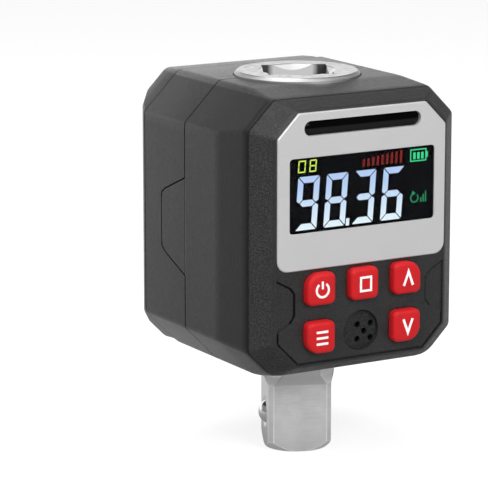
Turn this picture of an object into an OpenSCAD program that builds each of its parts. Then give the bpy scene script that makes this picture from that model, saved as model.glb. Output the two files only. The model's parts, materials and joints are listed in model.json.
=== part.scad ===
// Digital torque adapter: a square drive shaft that turns in a battery powered housing
// The origin is the middle of the drive's tip. +Z runs up the shaft and the panel faces -Y

/* [Drive shaft] */
// Width across the flats of the male drive
drive_square = 12.7; // [12.5:0.1:13]
// Length of the male square from its tip
drive_length = 13.7; // [12.5:0.1:15]
// Chamfer on the long corners of the male square
drive_chamfer = 1; // [0.7:0.1:1.3]
// Width across the flats of the neck above the square
neck_square = 14.3; // [13.8:0.1:14.8]
// Diameter of the lower journal
journal_d = 15.9; // [15.5:0.1:16.3]
// Diameter of the measuring waist
waist_d = 13.2; // [12.4:0.1:13.8]
// Width of the female socket
socket_square = 12.9; // [12.8:0.05:13]
// Depth of the female socket
socket_depth = 16.5; // [15.5:0.5:17]
// Diameter of the socket body
socket_body_d = 22; // [21.6:0.1:22.2]
// How far the top flange stands out all round
flange_lip = 1.4; // [1.2:0.05:2]
// Height of the flange above the housing
flange_proud = 0.9; // [0.6:0.05:1.2]
// Turn of the shaft from square with the housing
shaft_turn = -23.6; // [-45:0.1:45]

/* [Detent ball] */
// Diameter of the ball
ball_d = 5; // [4.8:0.1:5.2]
// Height of the ball above the tip
ball_height = 6.8; // [6.5:0.1:7.3]
// How far the ball stands out of the flat
ball_proud = 1.25; // [1.1:0.05:1.35]

/* [Housing] */
// Side of the circuit board to the side of the housing
side_room = 6.3; // [6.2:0.1:7]
// Battery bay to the top and to the underside of the housing
end_room = 4; // [3.9:0.1:5]
// Shaft axis to the front face of the front cover
front_reach = 23.7; // [23.4:0.1:25]
// Wall of both covers
wall = 2; // [1.8:0.1:2.2]
// Size of the 45 degree cuts on the four long edges
corner_cut = 7.8; // [7.4:0.1:8]
// Radius that softens those edges
corner_round = 1.6; // [1:0.1:2.2]
// Shaft axis to the seam between the covers
seam_reach = 1.2; // [0.9:0.1:1.7]
// Open line between the covers
seam_gap = 0.16; // [0.1:0.02:0.24]
// Shaft axis to the line where the front starts to taper
taper_reach = 11.2; // [10.2:0.1:12.2]
// Shaft axis to the shoulder of the textured band
shoulder_reach = 20; // [19.5:0.1:20.5]
// Height of the tongue that the front cover sends into each side of the rear cover
tongue_h = 19.4; // [17:0.2:21]
// Reach of that tongue past the seam
tongue_reach = 9.4; // [8.4:0.1:10]

/* [Front panel] */
// Side of the housing to the side of the silver bezel and of the panel
bezel_side = 5.8; // [5.5:0.1:6]
// Top of the bezel below the top of the housing
bezel_drop = 3.25; // [3:0.05:3.6]
// Bottom of the panel above the underside of the housing
panel_rise = 4.6; // [4.2:0.1:5]
// Size of the corner cuts of the panel
panel_cut = 4.6; // [4.2:0.1:5]
// Side of the bezel to the side of the display window
window_side = 2.57; // [2.4:0.01:2.9]
// Top of the display window below the top of the bezel
window_drop = 8.56; // [8.2:0.02:8.8]
// Bottom of the window above the bottom of the bezel
window_rise = 7.2; // [6.8:0.1:7.6]
// Side of the bezel to the end of the indicator slot
slot_side = 5.75; // [5.4:0.05:6.4]
// Height of the indicator slot
slot_h = 2.87; // [2.6:0.01:3.1]

/* [Keys] */
// Width and height of a key cap
key_size = 6.3; // [5.8:0.1:6.6]
// Height of the caps above the front cover
key_proud = 1.8; // [1.4:0.1:2.2]
// How far a key travels when it is pressed
key_travel = 0.8; // [0.5:0.05:0.9]
// Spacing of the key columns
key_pitch_x = 9.75; // [9.5:0.05:10]
// Spacing of the key rows
key_pitch_z = 9.45; // [9.3:0.05:9.8]
// Lower key row above the bottom of the panel
key_rise = 5.3; // [5.1:0.05:5.6]
// Upper key row below the bottom of the bezel
key_drop = 3.8; // [3.6:0.05:4.1]
// Radius of the large outer corner of four of the keys
key_corner = 2.9; // [2:0.1:3]

/* [Battery] */
// Diameter of a cell
cell_d = 10.5; // [10.3:0.1:10.5]
// Length of a cell
cell_length = 44.5; // [44:0.1:44.5]
// Side of each battery bay to the side of the housing, beside the screws
bay_side = 5.5; // [5.4:0.05:5.6]
// Gap between a cell and the upper bush
cell_clear = 0.8; // [0.7:0.05:1]
// Thickness of the battery door
door_thickness = 5.8; // [5.2:0.1:6.2]
// Step from the rear cover's outline in to the door's
door_step = 0.3; // [0.2:0.05:0.5]

/* [Swivel] */
// Turn of the shaft either way from square with the housing
swivel_limit = 150; // [120:5:150]
// Radial running clearance of the shaft in its bushes
bush_gap = 0.05; // [0.03:0.01:0.08]
// Length of each bush
bush_length = 6; // [5.5:0.1:6.2]

/* [Hidden] */
$fn = 64;

// General clearances and steps
over = 0.4;
sliver = 0.01;
fit_gap = 0.1;
round_steps = 4;
bend_steps = 3;
diagonal = sqrt(2);

// Width of the housing, set by the keys and by the board whose posts stand beside them
key_flange = 0.8;
post_gap = 0.6;
post_r = 1.9;
post_side = 2.2;
post_x = key_pitch_x + key_size / 2 + key_flange + post_gap + post_r;
board_half_w = post_x + post_side;
half_w = board_half_w + side_room;
body_w = 2 * half_w;

// Height of the housing, set by the battery bays
cell_r = cell_d / 2;
cell_gap = 0.35;
bay_wall = 1;
bay_r = cell_r + cell_gap;
bay_spare = 2.05;
bay_half = cell_length / 2 + bay_spare;
body_h = 2 * (bay_half + end_room);

// Heights along the shaft
neck_rise = 2;
neck_show = 2.8;
body_bottom = drive_length + neck_rise + neck_show;
body_top = body_bottom + body_h;
body_mid = body_bottom + body_h / 2;
floor_top = body_bottom + wall;
ceiling = body_top - wall;
neck_sink = 0.5;
neck_top = body_bottom + neck_sink;
flange_sink = 0.7;
flange_bottom = body_top - flange_sink;
flange_top = body_top + flange_proud;
flange_bevel = 0.6;
flange_gap = 0.2;
socket_floor = flange_top - socket_depth;
socket_lead = 1.1;
socket_groove = 1.4;
waist_top_cone = 3.4;
socket_root = 4;
socket_body_bottom = socket_floor - socket_root;
waist_top = socket_body_bottom - waist_top_cone;
tip_cut = 1.9;
tip_centre_d = 2;

// Radii of the shaft
journal_r = journal_d / 2;
socket_body_r = socket_body_d / 2;
flange_r = socket_body_r + flange_lip;
waist_r = waist_d / 2;

// Retaining ring, lower bush and stop pin, stacked above the floor
ring_lift = 0.3;
ring_t = 1;
ring_z = floor_top + ring_lift;
ring_groove = 0.7;
ring_spread = 1.9;
ring_mouth = 5;
bush_flange_t = 0.4;
bush_flange_w = 0.45;
lower_bush_wall = 1.8;
lower_bush_z = ring_z + ring_t + fit_gap;
lower_bush_r = journal_r + bush_gap + lower_bush_wall;
upper_bush_wall = 1.15;
upper_bush_r = socket_body_r + bush_gap + upper_bush_wall;
seal_r = 0.7;
upper_seal_drop = 1.2;
upper_seal_z = flange_bottom - upper_seal_drop;
upper_bush_drop = 0.3;
upper_bush_z = upper_seal_z - seal_r - upper_bush_drop - bush_length;
stop_pin_r = 1;
stop_pin_lift = 0.4;
stop_pin_z = lower_bush_z + bush_length + stop_pin_lift + stop_pin_r;
stop_pin_reach = 11.2;
stop_pin_root = 4.5;
stop_gap = 0.1;
stop_lug_t = 2.4;
waist_lift = 0.6;
waist_bottom = stop_pin_z + stop_pin_r + waist_lift;
rib_t = 1.5;
saddle_gap = 0.05;
lower_seal_z = floor_top - seal_r + saddle_gap;

// Depths from the shaft axis, front to back
front_y = -front_reach;
taper_y = -taper_reach;
shoulder_y = -shoulder_reach;
seam_y = seam_reach;
cell_x = half_w - bay_side - bay_r;
cell_reach = upper_bush_r + bush_flange_w + cell_clear + cell_r;
cell_y = sqrt(cell_reach * cell_reach - cell_x * cell_x);
bay_back = 0.05;
back_y = cell_y + cell_r + bay_back;
front_inner_y = front_y + wall;
bezel_proud = 0.4;
bezel_t = 1;
bezel_front_y = front_y - bezel_proud;
bezel_back_y = bezel_front_y + bezel_t;
board_gap = 4.7;
board_t = 1.6;
board_y = front_y + board_gap;
board_back_y = board_y + board_t;
rib_setback = 2.4;
rib_front_y = board_back_y + rib_setback;

// Outline of the housing at the stations along its depth. A station holds its depth, half
// width, top, bottom, upper cut, lower cut, edge radius and radius beside the underside
shoulder_side_drop = 1.4;
shoulder_top_drop = 1;
shoulder_under_drop = 2;
shoulder_slant_drop = 0.42;
under_cut_extra = 0.4;
under_round = 6;
panel_rim = 0.35;
panel_round = 0.8;
face_soften = 0.3;
bend_reach = 1.2;
taper_bend_share = 0.14;
shoulder_bend_share = 0.18;
face_bend_share = 0.07;
inner_round_share = 0.4;
full = [back_y, half_w, body_top, body_bottom, corner_cut, corner_cut + under_cut_extra,
    corner_round, under_round];
taper_start = at_depth(full, taper_y);
shoulder = at_depth(inset(full, shoulder_side_drop, shoulder_top_drop, shoulder_under_drop,
    0, shoulder_slant_drop), shoulder_y);
bezel_w = body_w - 2 * bezel_side;
bezel_top = body_top - bezel_drop;
panel_bottom = body_bottom + panel_rise;
key_row_bottom = panel_bottom + key_rise;
key_row_top = key_row_bottom + key_pitch_z;
bezel_bottom = key_row_top + key_drop;
panel = [front_y, bezel_w / 2, bezel_top, panel_bottom, panel_cut, panel_cut, panel_round,
    panel_round];
front = evenly_inset(panel, -panel_rim);
face = evenly_inset(front, face_soften);
outer_stations = concat(
    bend(at_depth(full, taper_y + bend_reach), taper_start,
        mix(taper_start, shoulder, taper_bend_share)),
    bend(mix(shoulder, taper_start, shoulder_bend_share), shoulder,
        mix(shoulder, front, shoulder_bend_share)),
    bend(mix(front, shoulder, face_bend_share), front, face));
inner_front = at_depth(evenly_inset(mix(front, shoulder,
    wall / (shoulder_y - front_y)), wall), front_inner_y);
inner_full = evenly_inset(full, wall);

// Lip of the front cover that lies inside the rear cover
lip_length = 1.5;
lip_t = 0.9;

// Tongue on each side of the front cover
tongue_slope_share = 0.86;
tongue_rise_share = 0.35;
tongue_tip_share = 0.55;
tongue_round = 0.15;

// Bezel, window, indicator and display
window_w = bezel_w - 2 * window_side;
window_bottom = bezel_bottom + window_rise;
window_h = bezel_top - window_drop - window_bottom;
window_mid = window_bottom + window_h / 2;
window_round = 0.7;
window_ledge = 0.8;
bezel_round = 2.2;
bezel_bevel = 0.18;
bezel_gap = 0.05;
lens_t = 0.95;
ledge_t = 0.7;
display_side = 1.27;
display_rim = 1.68;
display_w = window_w + 2 * display_side;
display_h = window_h + 2 * display_rim;
display_glass_t = 1.1;
display_step = 0.5;
display_y = bezel_back_y + ledge_t;
slot_drop = 3.05;
slot_w = bezel_w - 2 * slot_side;
slot_z = bezel_top - slot_drop;
slot_r = slot_h / 2;
lens_sink = 0.35;
lens_dome = 2.2;
lens_flange = 0.6;
lens_flange_t = 0.75;

// Keys, sheet, domes and sounder
key_round = 1.3;
key_edge = 0.8;
key_gap = 0.15;
key_flange_t = 0.8;
key_pill_r = 1.8;
key_press_gap = 0.06;
key_front_y = front_y - key_proud;
key_rest_gap = 0.04;
key_flange_y = front_inner_y + key_rest_gap;
key_places = [[-key_pitch_x, key_row_top], [0, key_row_top], [key_pitch_x, key_row_top],
    [-key_pitch_x, key_row_bottom], [key_pitch_x, key_row_bottom]];
sheet_t = 0.5;
sheet_margin = 0.15;
sheet_hole_r = 2.6;
dome_r = 2.2;
dome_h = 0.35;
key_pill_t = board_y - dome_h - key_travel - key_press_gap - key_flange_y - key_flange_t;
buzzer_r = 4.5;
buzzer_t = 2.5;
buzzer_port_r = 1;
speaker_r = 4;
speaker_sink = 0.6;
speaker_hole_r = 0.62;
speaker_hole_x = 1.5;
speaker_hole_z = 1.45;
speaker_hole_side = 1.1;
speaker_hole_drop = 0.4;
speaker_mid = [speaker_hole_side, key_row_bottom - speaker_hole_drop];
speaker_holes = concat([speaker_mid], [for (x = [-speaker_hole_x, speaker_hole_x],
    z = [-speaker_hole_z, speaker_hole_z]) speaker_mid + [x, z]]);

// Mouldings of the front panel
groove_w = 0.45;
groove_depth = 0.5;
land_depth = 0.3;
land_reach = 4;
land_drop = 1.6;
land_top = bezel_bottom - land_drop;
land_lift = 2.2;
land_bottom = panel_bottom + panel_cut + land_lift;
land_slope = 1.7;
land_round = 1.2;
land_bend_share = 0.78;
land_rise_share = 1.7;

// Circuit board, its posts and screws
board_rise = 0.3;
board_drop = 1.4;
board_bottom = panel_bottom + board_rise;
board_top = bezel_top - board_drop;
board_cut = 3.5;
post_rise = 2.3;
post_drop = 1.6;
post_z_low = key_row_bottom + post_rise;
post_z_high = slot_z - post_drop;
post_places = [[-post_x, post_z_low], [post_x, post_z_low], [-post_x, post_z_high],
    [post_x, post_z_high]];
post_hole_r = 0.85;
board_screw_r = 0.8;
board_screw_head_r = 1.5;
board_screw_head_t = 0.9;
board_screw_length = 4;
led_size = [2, 0.8, 1.2];
led_count = 5;
led_pitch = 5;
chip_size = [8, 1.1, 8];
plug_size = [5, 3, 4];
plug_x = 1;
crystal_r = 1.5;
crystal_length = 5;

// Housing screws
screw_r = 1;
screw_length = 20;
screw_head_r = 1.9;
screw_head_t = 1.3;
screw_sink = 1.6;
screw_boss_r = 2.2;
screw_boss_depth = 8;
screw_spread = 17;
screw_inset = 1.5;
screw_x = half_w - wall - screw_inset;
screw_places = [for (x = [-screw_x, screw_x],
    z = [body_mid - screw_spread, body_mid + screw_spread]) [x, z]];
screw_head_y = back_y - screw_sink;
recess_length_share = 0.6;
recess_width_share = 0.14;

// Battery bays. The left cell stands spring down and the right one spring up
contact_t = 0.4;
contact_clear = 0.1;
contact_w = 7;
cell_shift = bay_half - cell_length / 2 - contact_t - contact_clear;
nub_r = 1.9;
nub_h = 0.8;
spring_wire = 0.5;
spring_r = 2.7;
spring_turns = 3;
spring_plate_t = 0.3;

// Battery door
door_gap = 0.15;
door_round = 1;
door_station = evenly_inset(full, door_step);
door_belly_side = 1.3;
door_belly_share = 0.42;
door_back_side = 4.2;
door_back_end = 0.5;
door_back_cut = 4.2;
door_back_under_cut = 3.8;
door_back_round = 2.2;
door_belly = at_depth(inset(full, door_belly_side, door_step, door_step, door_step, door_step),
    back_y + door_belly_share * door_thickness);
door_y = back_y + door_gap;
door_back_y = door_y + door_thickness;
door_back = [door_back_y, half_w - door_back_side, body_top - door_back_end,
    body_bottom + door_back_end, door_back_cut, door_back_under_cut, door_back_round,
    door_back_round];
door_pocket_side = 5.5;
door_pocket_end = 8;
door_pocket_round = 1.5;
tab_w = 5;
tab_t = 1.2;
tab_length = 3.2;
tab_gap = 0.12;
tab_share = 0.41;
tab_low_z = body_mid - tab_share * body_h;
tab_high_z = body_mid + tab_share * body_h;
tab_spread = 3.2;
grip_w = 14;
grip_r = 0.55;
grip_pitch = 1.7;
grip_count = 5;
grip_sink_share = 0.4;
rear_round = 0.8;

// Parts of the detent
ball_r = ball_d / 2;
ball_x = -(drive_square / 2 + ball_proud - ball_r);
ball_hole_gap = 0.1;
ball_lip_gap = 0.05;
ball_lip_depth = 0.35;
ball_relief_depth = 1;
ball_sink_w = 0.75;
ball_hole_depth = 9.5;
detent_wire = 0.45;
detent_turns = 6;

// Strain gauges and their lead
gauge_size = [0.15, 5, 9];
gauge_flat = 0.6;
gauge_z = (waist_bottom + waist_top) / 2;
lead_r = 0.6;
lead_clear = 0.3;
lead_steps = 40;
lead_power = 4;
lead_start_r = waist_r + lead_clear + lead_r;
lead_end_r = -(board_back_y + plug_size.y / 2);
lead_turn = 270 - shaft_turn;

// Points of an arc that rounds corner b on the way from a to c
function unit(v) = v / norm(v);
function turned(v, t) = [v.x * cos(t) - v.y * sin(t), v.x * sin(t) + v.y * cos(t)];
function corner_arc(a, b, c, r, steps) =
    let (u = unit(a - b), v = unit(c - b), half = acos(u * v) / 2,
        middle = b + unit(u + v) * r / sin(half),
        start = b + u * r / tan(half) - middle,
        way = cross(u, v) > 0 ? -1 : 1)
    [for (i = [0 : steps]) middle + turned(start, way * (180 - 2 * half) * i / steps)];

// Closed outline with each corner rounded by its own radius
function rounded(points, radii, steps = round_steps) =
    let (n = len(points))
    [for (i = [0 : n - 1]) each corner_arc(points[(i + n - 1) % n], points[i],
        points[(i + 1) % n], radii[i], steps)];

// Work with stations
function mix(a, b, s) = a + (b - a) * s;
function bend(a, b, c) =
    [for (i = [0 : bend_steps]) let (s = i / bend_steps)
        (1 - s) * (1 - s) * a + 2 * s * (1 - s) * b + s * s * c];
function at_depth(s, y) = [y, s[1], s[2], s[3], s[4], s[5], s[6], s[7]];
function inset(s, side, up, down, slant_up, slant_down) =
    [s[0], s[1] - side, s[2] - up, s[3] + down, s[4] - side - up + slant_up * diagonal,
        s[5] - side - down + slant_down * diagonal, s[6], s[7]];
function evenly_inset(s, d) =
    let (i = inset(s, d, d, d, d, d))
    [i[0], i[1], i[2], i[3], i[4], i[5], max(i[6] - d, i[6] * inner_round_share),
        max(i[7] - d, i[7] * inner_round_share)];
function outline(s) =
    rounded([[s[1], s[3] + s[5]], [s[1], s[2] - s[4]], [s[1] - s[4], s[2]],
        [-s[1] + s[4], s[2]], [-s[1], s[2] - s[4]], [-s[1], s[3] + s[5]],
        [-s[1] + s[5], s[3]], [s[1] - s[5], s[3]]],
        concat([for (i = [0 : 5]) s[6]], [s[7], s[7]]));

// Points of a rounded rectangle, and of a key cap whose corners have their own radii
function rectangle(w, bottom, top, r) =
    rounded([[w / 2, bottom], [w / 2, top], [-w / 2, top], [-w / 2, bottom]], [r, r, r, r]);
function cap(place, grow, radii) =
    let (h = key_size / 2 + grow)
    [for (p = rounded([[h, -h], [h, h], [-h, h], [-h, -h]],
        [for (r = radii) max(r + grow, sliver)])) p + place];

// Corner radii of the key at each place, counter-clockwise from the lower right
key_radii = [[key_round, key_round, key_corner, key_round],
    [key_round, key_round, key_round, key_round],
    [key_round, key_corner, key_round, key_round],
    [key_round, key_round, key_round, key_corner],
    [key_corner, key_round, key_round, key_round]];

// Tube along a list of points, with its rings square to the route
module tube(points, r, sides) {
    n = len(points);
    rings = [for (i = [0 : n - 1])
        let (t = unit(points[min(i + 1, n - 1)] - points[max(i - 1, 0)]),
            s = unit(cross(t, [0, 0, 1])), u = cross(s, t))
        for (k = [0 : sides - 1]) let (a = 360 * k / sides)
            points[i] + r * (cos(a) * s + sin(a) * u)];
    walls = [for (i = [0 : n - 2], k = [0 : sides - 1])
        let (a = i * sides + k, b = i * sides + (k + 1) % sides)
        each [[a, b, b + sides], [a, b + sides, a + sides]]];
    first = [for (k = [1 : sides - 2]) [0, k + 1, k]];
    last = [for (k = [1 : sides - 2]) let (e = (n - 1) * sides) [e, e + k, e + k + 1]];
    polyhedron(points = rings, faces = concat(walls, first, last));
}

// Compression spring standing on the XY plane
module coil(r, wire, length, turns) {
    steps = 10;
    lift = length - wire;
    tube([for (i = [0 : turns * steps]) let (a = 360 * i / steps)
        [r * cos(a), r * sin(a), wire / 2 + lift * i / (turns * steps)]], wire / 2, 6);
}

// Outline in X and Z, pushed from one depth to another
module plate_y(y0, y1, points) {
    translate([0, y1, 0]) rotate([90, 0, 0]) linear_extrude(y1 - y0) polygon(points);
}

// Outline in Y and Z, pushed from one X to another
module plate_x(x0, x1, points) {
    translate([x0, 0, 0]) rotate([90, 0, 90]) linear_extrude(x1 - x0) polygon(points);
}

// Closed skin through rings of equally many points. Each ring runs counter-clockwise as seen
// from the ring after it
module skin(rings) {
    n = len(rings[0]);
    last = len(rings) - 1;
    walls = [for (i = [0 : last - 1], k = [0 : n - 1])
        let (a = i * n + k, b = i * n + (k + 1) % n)
        each [[a, a + n, b + n], [a, b + n, b]]];
    polyhedron(points = [for (r = rings) each r], faces = concat(walls,
        [[for (k = [0 : n - 1]) k]], [[for (k = [0 : n - 1]) (last + 1) * n - 1 - k]]));
}
function ring_y(points, y) = [for (p = points) [p.x, y, p.y]];
function ring_z_at(points, z) = [for (p = points) [p.x, p.y, z]];

// Solid through a list of stations, given from the back to the front
module loft(stations) {
    skin([for (s = stations) ring_y(outline(s), s[0])]);
}

// Cylinder from one depth to another
module rod_y(place, y0, y1, r) {
    translate([place.x, y1, place.y]) rotate([90, 0, 0]) cylinder(h = y1 - y0, r = r);
}

// Block between two corners
module block(low, high) {
    translate(low) cube(high - low);
}

// Bar with round ends that lies along X
module stadium_y(length, r, z, y0, y1) {
    reach = length / 2 - r;
    for (x = [-reach, reach]) rod_y([x, z], y0, y1, r);
    block([-reach, y0, z - r], [reach, y1, z + r]);
}

// Places the female socket, the male square and all else that turns with the shaft
module on_shaft() {
    rotate([0, 0, shaft_turn]) children();
}

// Outline of the tongue in Y and Z, grown by a gap
function tongue(grow, root) =
    let (h = tongue_h / 2 + grow, tip = seam_y + tongue_reach + grow,
        slope = tongue_slope_share * tongue_reach, slope_h = tongue_rise_share * h,
        tip_h = tongue_tip_share * h, soft = tongue_round + grow)
    rounded([[root, body_mid - h], [seam_y + slope, body_mid - h + slope_h],
        [tip, body_mid - h + tip_h], [tip, body_mid + h - tip_h],
        [seam_y + slope, body_mid + h - slope_h], [root, body_mid + h]],
        [sliver, soft, soft, soft, soft, sliver]);

// Pair of ribs that hold one bush, between two depths
module saddle_ribs(z, y0, y1) {
    step = bush_flange_t + saddle_gap;
    for (bottom = [z + step, z + bush_length - step - rib_t])
        block([-half_w, y0, bottom], [half_w, y1, bottom + rib_t]);
}

// Room for the shaft, its bushes and its seals in both covers
module shaft_room() {
    for (b = [[lower_bush_z, lower_bush_r], [upper_bush_z, upper_bush_r]]) {
        translate([0, 0, b[0] - over]) cylinder(h = bush_length + 2 * over, r = b[1] + saddle_gap);
        for (z = [b[0] - saddle_gap, b[0] + bush_length - bush_flange_t - saddle_gap])
            translate([0, 0, z]) cylinder(h = bush_flange_t + 2 * saddle_gap,
                r = b[1] + bush_flange_w + fit_gap);
    }
    lower_seal_room = journal_r + bush_gap + 2 * seal_r + fit_gap;
    translate([0, 0, body_bottom - over]) cylinder(h = wall, r = journal_r + 3 * fit_gap);
    translate([0, 0, lower_seal_z - seal_r - saddle_gap]) cylinder(h = wall + over,
        r = lower_seal_room);
    upper_seal_room = socket_body_r + bush_gap + 2 * seal_r + fit_gap;
    translate([0, 0, upper_bush_z + bush_length]) cylinder(
        h = upper_seal_z + seal_r + saddle_gap - upper_bush_z - bush_length, r = upper_seal_room);
    translate([0, 0, ceiling]) cylinder(h = wall, r = socket_body_r + 3 * fit_gap);
    translate([0, 0, flange_bottom - saddle_gap]) cylinder(h = wall, r = flange_r + flange_gap);
}

// Moulded relief of the front panel
module panel_relief() {
    lower = at_depth(panel, front_y);
    difference() {
        plate_y(front_y - over, front_y + groove_depth, outline(lower));
        plate_y(front_y - 2 * over, front_y + 2 * groove_depth,
            outline(evenly_inset(lower, groove_w)));
        block([-half_w, front_y - 2 * over, land_bottom], [half_w, 0, body_top]);
    }
    w = bezel_w / 2;
    land_bend = land_bend_share * land_reach;
    land_rise = land_rise_share * land_slope;
    for (side = [-1, 1]) scale([side, 1, 1]) plate_y(front_y - over, front_y + land_depth,
        rounded([[w, land_bottom], [w, land_top], [w - land_bend, land_top - land_slope],
            [w - land_reach, land_top - land_rise],
            [w - land_reach, land_bottom + land_rise],
            [w - land_bend, land_bottom + land_slope]],
            [sliver, sliver, land_round, land_round, land_round, land_round]));
}

module front_cover() {
    color("#3a3a3b")
    difference() {
        union() {
            intersection() {
                loft(concat([at_depth(full, seam_y)], outer_stations));
                union() {
                    difference() {
                        block([-half_w, front_y - over, body_bottom], [half_w, seam_y, body_top]);
                        loft([at_depth(inner_full, seam_y + over), at_depth(inner_full, taper_y),
                            at_depth(evenly_inset(shoulder, wall), shoulder_y), inner_front]);
                    }
                    saddle_ribs(lower_bush_z, rib_front_y, seam_y);
                    saddle_ribs(upper_bush_z, rib_front_y, seam_y);
                    for (p = post_places) rod_y(p, front_inner_y - over, board_y, post_r);
                    for (p = screw_places) rod_y(p, seam_y - screw_boss_depth, seam_y, screw_boss_r);
                }
            }
            for (side = [-1, 1]) scale([side, 1, 1])
                plate_x(half_w - wall, half_w, tongue(0, seam_y - over));
            front_lip();
        }
        shaft_room();
        for (p = post_places) rod_y(p, front_inner_y, board_y + over, post_hole_r);
        for (p = screw_places)
            rod_y(p, seam_y - screw_boss_depth + over, seam_y + over, screw_r + bush_gap);
        plate_y(front_y - over, bezel_back_y, bezel_outline(bezel_gap));
        plate_y(front_y - over, front_inner_y + over, rectangle(window_w - 2 * window_ledge,
            window_bottom + window_ledge, window_bottom + window_h - window_ledge, window_round));
        block([-display_w / 2 - fit_gap, display_y, window_mid - display_h / 2 - fit_gap],
            [display_w / 2 + fit_gap, front_inner_y + over, window_mid + display_h / 2 + fit_gap]);
        stadium_y(slot_w, slot_r, slot_z, front_y - over, front_inner_y + over);
        for (i = [0 : len(key_places) - 1])
            plate_y(front_y - over, front_inner_y + over, cap(key_places[i], key_gap, key_radii[i]));
        rod_y([0, key_row_bottom], front_y - over, front_y + speaker_sink, speaker_r);
        for (p = speaker_holes) rod_y(p, front_y - over, front_inner_y + over, speaker_hole_r);
        panel_relief();
    }
}

// Ring that keeps dust out of the seam
module front_lip() {
    difference() {
        union() {
            plate_y(seam_y - lip_length, seam_y, outline(evenly_inset(full, wall - fit_gap)));
            plate_y(seam_y - sliver, seam_y + lip_length, outline(evenly_inset(full, wall + fit_gap)));
        }
        plate_y(seam_y - lip_length - over, seam_y + lip_length + over,
            outline(evenly_inset(full, wall + fit_gap + lip_t)));
        for (p = screw_places)
            rod_y(p, seam_y, seam_y + lip_length + over, screw_boss_r + fit_gap);
    }
}

module rear_cover() {
    color("#3a3a3b")
    difference() {
        union() {
            intersection() {
                loft(concat(bend(evenly_inset(full, rear_round), full,
                    at_depth(full, back_y - rear_round)), [at_depth(full, seam_y + seam_gap)]));
                union() {
                    difference() {
                        block([-half_w, seam_y, body_bottom], [half_w, back_y, body_top]);
                        plate_y(seam_y - over, back_y - wall, outline(inner_full));
                    }
                    rib_y = seam_y + lip_length + 2 * fit_gap;
                    saddle_ribs(lower_bush_z, rib_y, back_y - over);
                    saddle_ribs(upper_bush_z, rib_y, back_y - over);
                    for (p = screw_places) rod_y(p, seam_y + seam_gap, back_y - over, screw_boss_r);
                    for (side = [-1, 1]) bay(side, bay_wall, back_y - over);
                    stop_lug();
                }
            }
        }
        shaft_room();
        for (side = [-1, 1]) bay(side, 0, back_y + over);
        for (side = [-1, 1]) scale([side, 1, 1])
            plate_x(half_w - wall - over, half_w + over, tongue(seam_gap, seam_y - over));
        for (p = screw_places) {
            rod_y(p, seam_y - over, back_y + over, screw_r + fit_gap);
            rod_y(p, screw_head_y, back_y + over, screw_head_r + fit_gap);
        }
        door_tabs(tab_gap);
    }
}

// Battery bay, with its walls grown for the moulding round it
module bay(side, grow, y1) {
    r = bay_r + grow;
    z0 = body_mid - bay_half - grow;
    height = 2 * (bay_half + grow);
    translate([side * cell_x, cell_y, z0]) cylinder(h = height, r = r);
    block([side * cell_x - r, cell_y, z0], [side * cell_x + r, y1, z0 + height]);
}

// Lug that the stop pin meets at both ends of the swivel
module stop_lug() {
    half = 180 - swivel_limit;
    inner = journal_r + 4 * fit_gap;
    outer = stop_pin_reach + fit_gap;
    offset_w = stop_pin_r + stop_gap;
    corner = function (r, side) [side * (r * sin(half) - offset_w * cos(half)),
        r * cos(half) + offset_w * sin(half)];
    z0 = lower_bush_z + bush_length - bush_flange_t - saddle_gap - rib_t;
    z1 = stop_pin_z + stop_lug_t / 2;
    translate([0, 0, z0]) linear_extrude(z1 - z0) difference() {
        polygon([corner(inner, -1), corner(outer, -1), [-offset_w, outer + wall],
            [offset_w, outer + wall], corner(outer, 1), corner(inner, 1)]);
        circle(r = inner);
    }
}

// Tabs of the battery door, and with a gap the slots that take them
module door_tabs(grow) {
    for (x = [-tab_spread, tab_spread]) block([x - tab_w / 2 - grow, back_y - tab_length - grow,
        tab_low_z - grow], [x + tab_w / 2 + grow, door_y + over, tab_low_z + tab_t + grow]);
    block([-tab_w / 2 - grow, back_y - tab_length - grow, tab_high_z - tab_t - grow],
        [tab_w / 2 + grow, door_y + over, tab_high_z + grow]);
}

module battery_door() {
    color("#38383a")
    difference() {
        union() {
            loft(concat(bend(evenly_inset(door_back, door_round), door_back,
                mix(door_back, door_belly, door_round / door_thickness)),
                [door_belly, at_depth(door_station, door_y)]));
            door_tabs(0);
        }
        plate_y(door_y - over, door_back_y - wall, rectangle(2 * (half_w - door_pocket_side),
            body_bottom + door_pocket_end, body_top - door_pocket_end, door_pocket_round));
        for (side = [-1, 1]) translate([side * cell_x, cell_y, body_mid - bay_half])
            cylinder(h = 2 * bay_half, r = bay_r);
        for (i = [0 : grip_count - 1]) translate([-grip_w / 2, door_back_y + grip_r * grip_sink_share,
            tab_high_z - 2 * grip_pitch - i * grip_pitch]) rotate([0, 90, 0])
            cylinder(h = grip_w, r = grip_r);
    }
}

// Outline of the bezel, grown by a gap
function bezel_outline(grow) =
    let (w = bezel_w / 2 + grow, cut = panel_cut + (2 - diagonal) * grow,
        top = bezel_top + grow, bottom = bezel_bottom - grow)
    rounded([[w, bottom], [w, top - cut], [w - cut, top], [-w + cut, top], [-w, top - cut],
        [-w, bottom]], [bezel_round, panel_round, panel_round, panel_round, panel_round, bezel_round]);

module bezel_plate() {
    color("#c4c5c7")
    difference() {
        skin([ring_y(bezel_outline(0), bezel_back_y),
            ring_y(bezel_outline(0), bezel_front_y + bezel_bevel),
            ring_y(bezel_outline(-bezel_bevel), bezel_front_y)]);
        plate_y(bezel_front_y - over, bezel_back_y + over, rectangle(window_w, window_bottom,
            window_bottom + window_h, window_round));
        stadium_y(slot_w, slot_r, slot_z, bezel_front_y - over, bezel_back_y + over);
    }
}

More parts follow.
